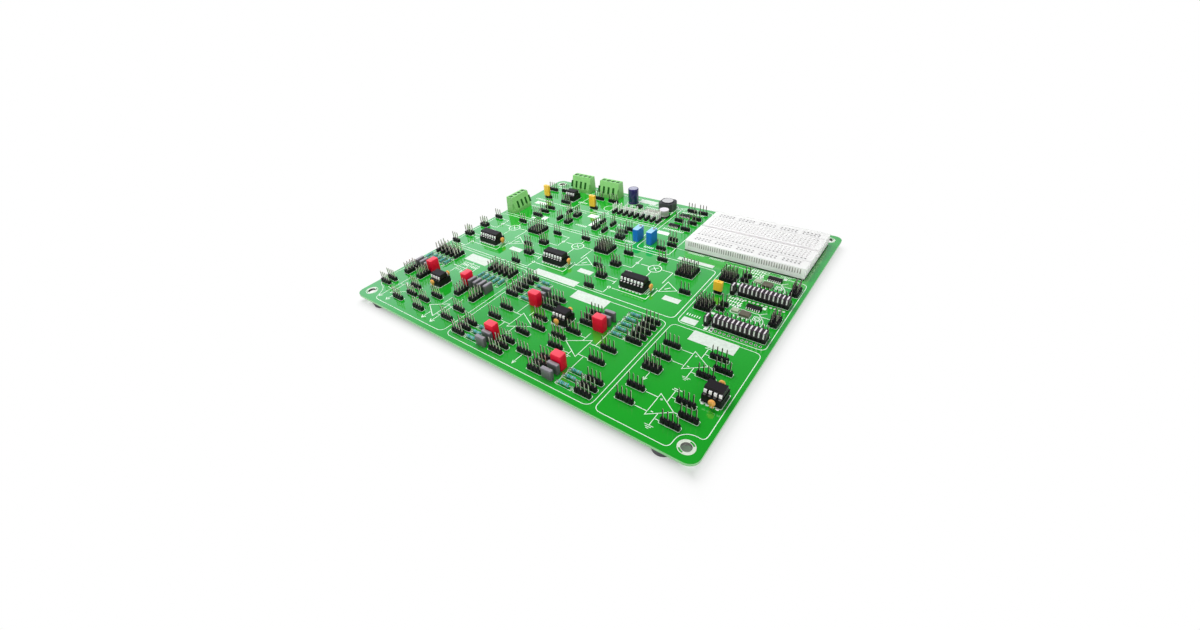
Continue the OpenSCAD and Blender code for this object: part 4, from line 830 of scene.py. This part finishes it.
# The low can's top is painted bright and its sides dark grey: painted light and shade.
aluminium = facing_tones(finish("can_aluminium", (0.9, 0.86, 0.87), 0.32, metal=0.4, scale=300.0),
    (0.88, 0.82, 0.85), (0.42, 0.42, 0.38))
sleeve = turned([(4.05, 0.0), (4.2, 0.05), (4.45, 0.35), (4.5, 0.7), (4.5, 1.4), (4.3, 1.65), (4.2, 1.85),
    (4.3, 2.1), (4.5, 2.35), (4.5, 12.8), (4.42, 13.2), (4.1, 13.48), (3.8, 13.48), (3.7, 13.3)], 48)
stamped("tall_sleeve", sleeve, [TALL_CAN], [sleeve_navy], stands_for=["tall_capacitor"], slot="sleeve_navy",
    smooth=50)
stamped("tall_can_lid", turned([(3.72, 13.2), (3.72, 13.36), (3.4, 13.42), (0.3, 13.42)], 48), [TALL_CAN],
    [finish("scored_lid", (0.50, 0.50, 0.60), 0.32, metal=0.5, scale=300.0)], slot="can_aluminium",
    smooth=50)
low_ring = np.array([(-4.1, -4.1), (2.7, -4.1), (4.1, -2.7), (4.1, 2.7), (2.7, 4.1), (-4.1, 4.1)])
stamped("low_can_foot", drawn(low_ring, (1.0, 1.0), (0.0, 1.15)), [LOW_CAN], [strip_black],
    stands_for=["low_capacitor"], slot="can_aluminium")
stamped("low_can", turned([(3.9, 1.1), (3.9, 1.6), (3.55, 1.95), (3.9, 2.35), (3.98, 2.7), (3.98, 6.0),
    (3.8, 6.35), (0.4, 6.38)], 48), [LOW_CAN], [aluminium], slot="can_aluminium", smooth=40)

# The breadboard is a white moulded body with rows of square contact holes and
# thin ribs down its sides, drawn as grey strips of painted shade. Grey squares a
# little way down the holes of its outer rows are painted shade. A foam pad glues
# it to the board, painted near black as the shade of the gap under its front.
# Its sides are painted whiter than its top: painted light on the sides.
bread_white = facing_tones(finish("bread_white", (0.80, 0.80, 0.79), 0.5, scale=600.0, mottle=0.01),
    (0.78, 0.78, 0.77), (0.93, 0.905, 0.91))
dial(bread_white.node_tree.nodes["Principled BSDF"],
    {"Subsurface Weight": 0.6, "Subsurface Scale": 0.003, "Subsurface Radius": (1.0, 1.0, 1.0)})
paint("breadboard", bread_white, 0.15)
# Painted shade: the foam is near black for the dark gap under the breadboard.
paint("foam_pad", finish("foam", (0.03, 0.03, 0.03), 0.9, scale=1200.0, mottle=0.08, relief=0.4))
# Painted shade strips for the ribs.
rib_shade = finish("rib_shadow", (0.44, 0.38, 0.39), 0.6, scale=180.0, mottle=0.8)
bread_left, bread_right, bread_front, bread_back, bread_top = 41.17, 123.67, 47.97, 101.97, 16.1
RIB_HALF, RIB_LOW, RIB_TOP, RIB_STEP, RIB_PROUD = 0.3, 11.8, 15.3, 0.64 * PITCH, 0.02


def ribs(places):
    """Upright strips set along a side: corners at place -+ half, at the low and top heights."""
    u = np.repeat(places, 4) + np.tile([-RIB_HALF, RIB_HALF, RIB_HALF, -RIB_HALF], len(places))
    z = np.tile([RIB_LOW, RIB_LOW, RIB_TOP, RIB_TOP], len(places))
    return u, z, np.arange(len(u)).reshape(-1, 4)


across, rise, front_faces = ribs(np.arange(bread_left + 3.0, bread_right - 2.0, RIB_STEP))
front = np.stack([across, np.full_like(across, bread_front - RIB_PROUD), rise], 1)
back = np.stack([across, np.full_like(across, bread_back + RIB_PROUD), rise], 1)
rib_faces = np.vstack([front_faces, front_faces[:, ::-1] + len(front)]).tolist()
put("side_ribs", np.vstack([front, back]), rib_faces, [rib_shade], slot="bread_white")
# Painted shade: grey squares a little way down the outer rows' holes.
HOLE_SHADE_HALF, HOLE_SHADE_DEEP = 0.5, 0.12
columns = (np.arange(30) - 14.5) * PITCH
rail_columns = ((np.arange(5)[:, None] - 2) * 6 + np.arange(5) - 2).ravel() * PITCH
shaded_hole_rows = [(columns, -5.5), (rail_columns, -7.8), (rail_columns, -8.8), (rail_columns, 7.8),
    (rail_columns, 8.8)]
shaded_hole_places = np.vstack([np.stack([row, np.full_like(row, at * PITCH)], 1) for row, at in shaded_hole_rows])
bread_middle = ((bread_left + bread_right) / 2, (bread_front + bread_back) / 2)
shaded_hole_corners = ((shaded_hole_places + bread_middle)[:, None] + square(HOLE_SHADE_HALF)).reshape(-1, 2)
hole_shade_grey = finish("hole_shade_grey", (0.12, 0.115, 0.12), 0.5, scale=180.0, mottle=0.4)
put("shaded_holes", np.column_stack([shaded_hole_corners, np.full(len(shaded_hole_corners), bread_top - HOLE_SHADE_DEEP)]),
    np.arange(len(shaded_hole_corners)).reshape(-1, 4).tolist(), [hole_shade_grey], slot="leg_metal")

# For the eye and in reflections the table fades into white, and its soft
# shadow stays.
table_mesh = bpy.data.meshes.new("table_top")
table_mesh.from_pydata([(-6, -6, 0), (6, -6, 0), (6, 6, 0), (-6, 6, 0)], [], [(0, 1, 2, 3)])
table_top = placed("table_top", table_mesh)
table_white = bpy.data.materials.new("table_white")
table_white.use_nodes = True
table_tree = table_white.node_tree
table_shader = table_tree.nodes["Principled BSDF"]
dial(table_shader, {"Base Color": (0.90, 0.90, 0.90, 1.0), "Roughness": 0.9, "Specular IOR Level": 0.0})
rays, where, apart, glow, blend = fresh(table_tree, "LightPath", "TexCoord", "SeparateXYZ", "Emission",
    "MixShader")
past_side, past_front = (
    reckon(table_tree, "SUBTRACT", reckon(table_tree, "ABSOLUTE", apart.outputs[axis]), half)
    for axis, half in (("X", BOARD_WIDE / 2000), ("Y", BOARD_DEEP / 2000)))
seen = reckon(table_tree, "MAXIMUM", rays.outputs["Is Camera Ray"], rays.outputs["Is Glossy Ray"])
seen = reckon(table_tree, "MAXIMUM", seen, rays.outputs["Is Transmission Ray"])
outside = reckon(table_tree, "MAXIMUM", past_side, past_front)
fade = ramp(table_tree, reckon(table_tree, "MULTIPLY_ADD", outside, 10.0, 0.2),
    [(0.14, 0.0), (0.2, 0.72), (0.3, 1.0)])
table_tree.links.new(reckon(table_tree, "MULTIPLY", seen, fade.outputs["Color"]), blend.inputs[0])
wired(table_tree, (where, "Object", apart, 0), (table_shader, 0, blend, 1), (glow, 0, blend, 2),
    (blend, 0, table_tree.nodes["Material Output"], "Surface"))
table_mesh.materials.append(table_white)

# The room is white to the eye. Its light comes more from the walls and the
# front than from above. Polished parts and the lacquer mirror walls that are
# brightest on the left and low down, and a dim ceiling.
room = bpy.data.worlds.new("room")
bpy.context.scene.world = room
room.use_nodes = True
room_tree = room.node_tree
room_link, even = room_tree.links.new, room_tree.nodes["Background"]
mirrored, plain, to_eye, to_mirror = fresh(room_tree, "Background", "Background", "MixShader", "MixShader")
room_rays, looking, height = fresh(room_tree, "LightPath", "TexCoord", "SeparateXYZ")
even.inputs[0].default_value = plain.inputs[0].default_value = (1.0, 1.0, 1.0, 1.0)
wall_stops = [(0.0, (1.0, 1.0, 1.0)), (0.3, (1.1, 1.1, 1.2)), (0.44, (1.0, 1.05, 1.3)),
    (0.5, (0.7, 0.78, 0.98)), (0.56, (0.36, 0.41, 0.52)), (0.63, (0.2, 0.23, 0.28)),
    (0.72, (0.05, 0.06, 0.06)), (1.0, (0.03, 0.03, 0.03))]
walls = ramp(room_tree, height.outputs["Z"], wall_stops)
frontal = reckon(room_tree, "MULTIPLY_ADD", height.outputs["Y"], -0.4, 1.4)
room_link(reckon(room_tree, "MULTIPLY_ADD", height.outputs["Z"], -1.35, frontal), even.inputs[1])
sidelong = reckon(room_tree, "MULTIPLY_ADD", height.outputs["X"], -0.8, 0.5)
room_link(reckon(room_tree, "MAXIMUM", sidelong, 0.2), mirrored.inputs[1])
room_link(reckon(room_tree, "MAXIMUM", room_rays.outputs["Is Camera Ray"],
    room_rays.outputs["Is Transmission Ray"]), to_eye.inputs[0])
wired(room_tree, (looking, "Generated", height, 0), (walls, "Color", mirrored, 0),
    (room_rays, "Is Glossy Ray", to_mirror, 0), (even, 0, to_mirror, 1), (mirrored, 0, to_mirror, 2),
    (to_mirror, 0, to_eye, 1), (plain, 0, to_eye, 2),
    (to_eye, 0, room_tree.nodes["World Output"], "Surface"))

lamp_light = bpy.data.lights.new("soft_lamp", "AREA")
lamp_light.energy, lamp_light.size = 1.9, 0.3
lamp = placed("soft_lamp", lamp_light)
lamp.matrix_world = (Matrix.Translation((-0.07, 0.05, 0.42)) @ Matrix.Rotation(math.radians(-8), 4, "Y")
    @ Matrix.Rotation(math.radians(-5), 4, "X"))
lamp.visible_glossy = lamp.visible_camera = False

lens_data = bpy.data.cameras.new("camera")
lens_data.sensor_width, lens_data.lens, lens_data.clip_start = 36.0, 14.80, 0.01
lens_data.shift_x, lens_data.shift_y = 0.0293, -0.0183
camera = placed("camera", lens_data)
camera.matrix_world = Matrix(((0.78177, -0.28486, 0.55470, 0.18103), (0.61702, 0.48195, -0.62210, -0.24439),
    (-0.09012, 0.82860, 0.55254, 0.18790), (0.0, 0.0, 0.0, 1.0)))
bpy.context.scene.camera = camera
bpy.context.scene.view_settings.view_transform = "Standard"
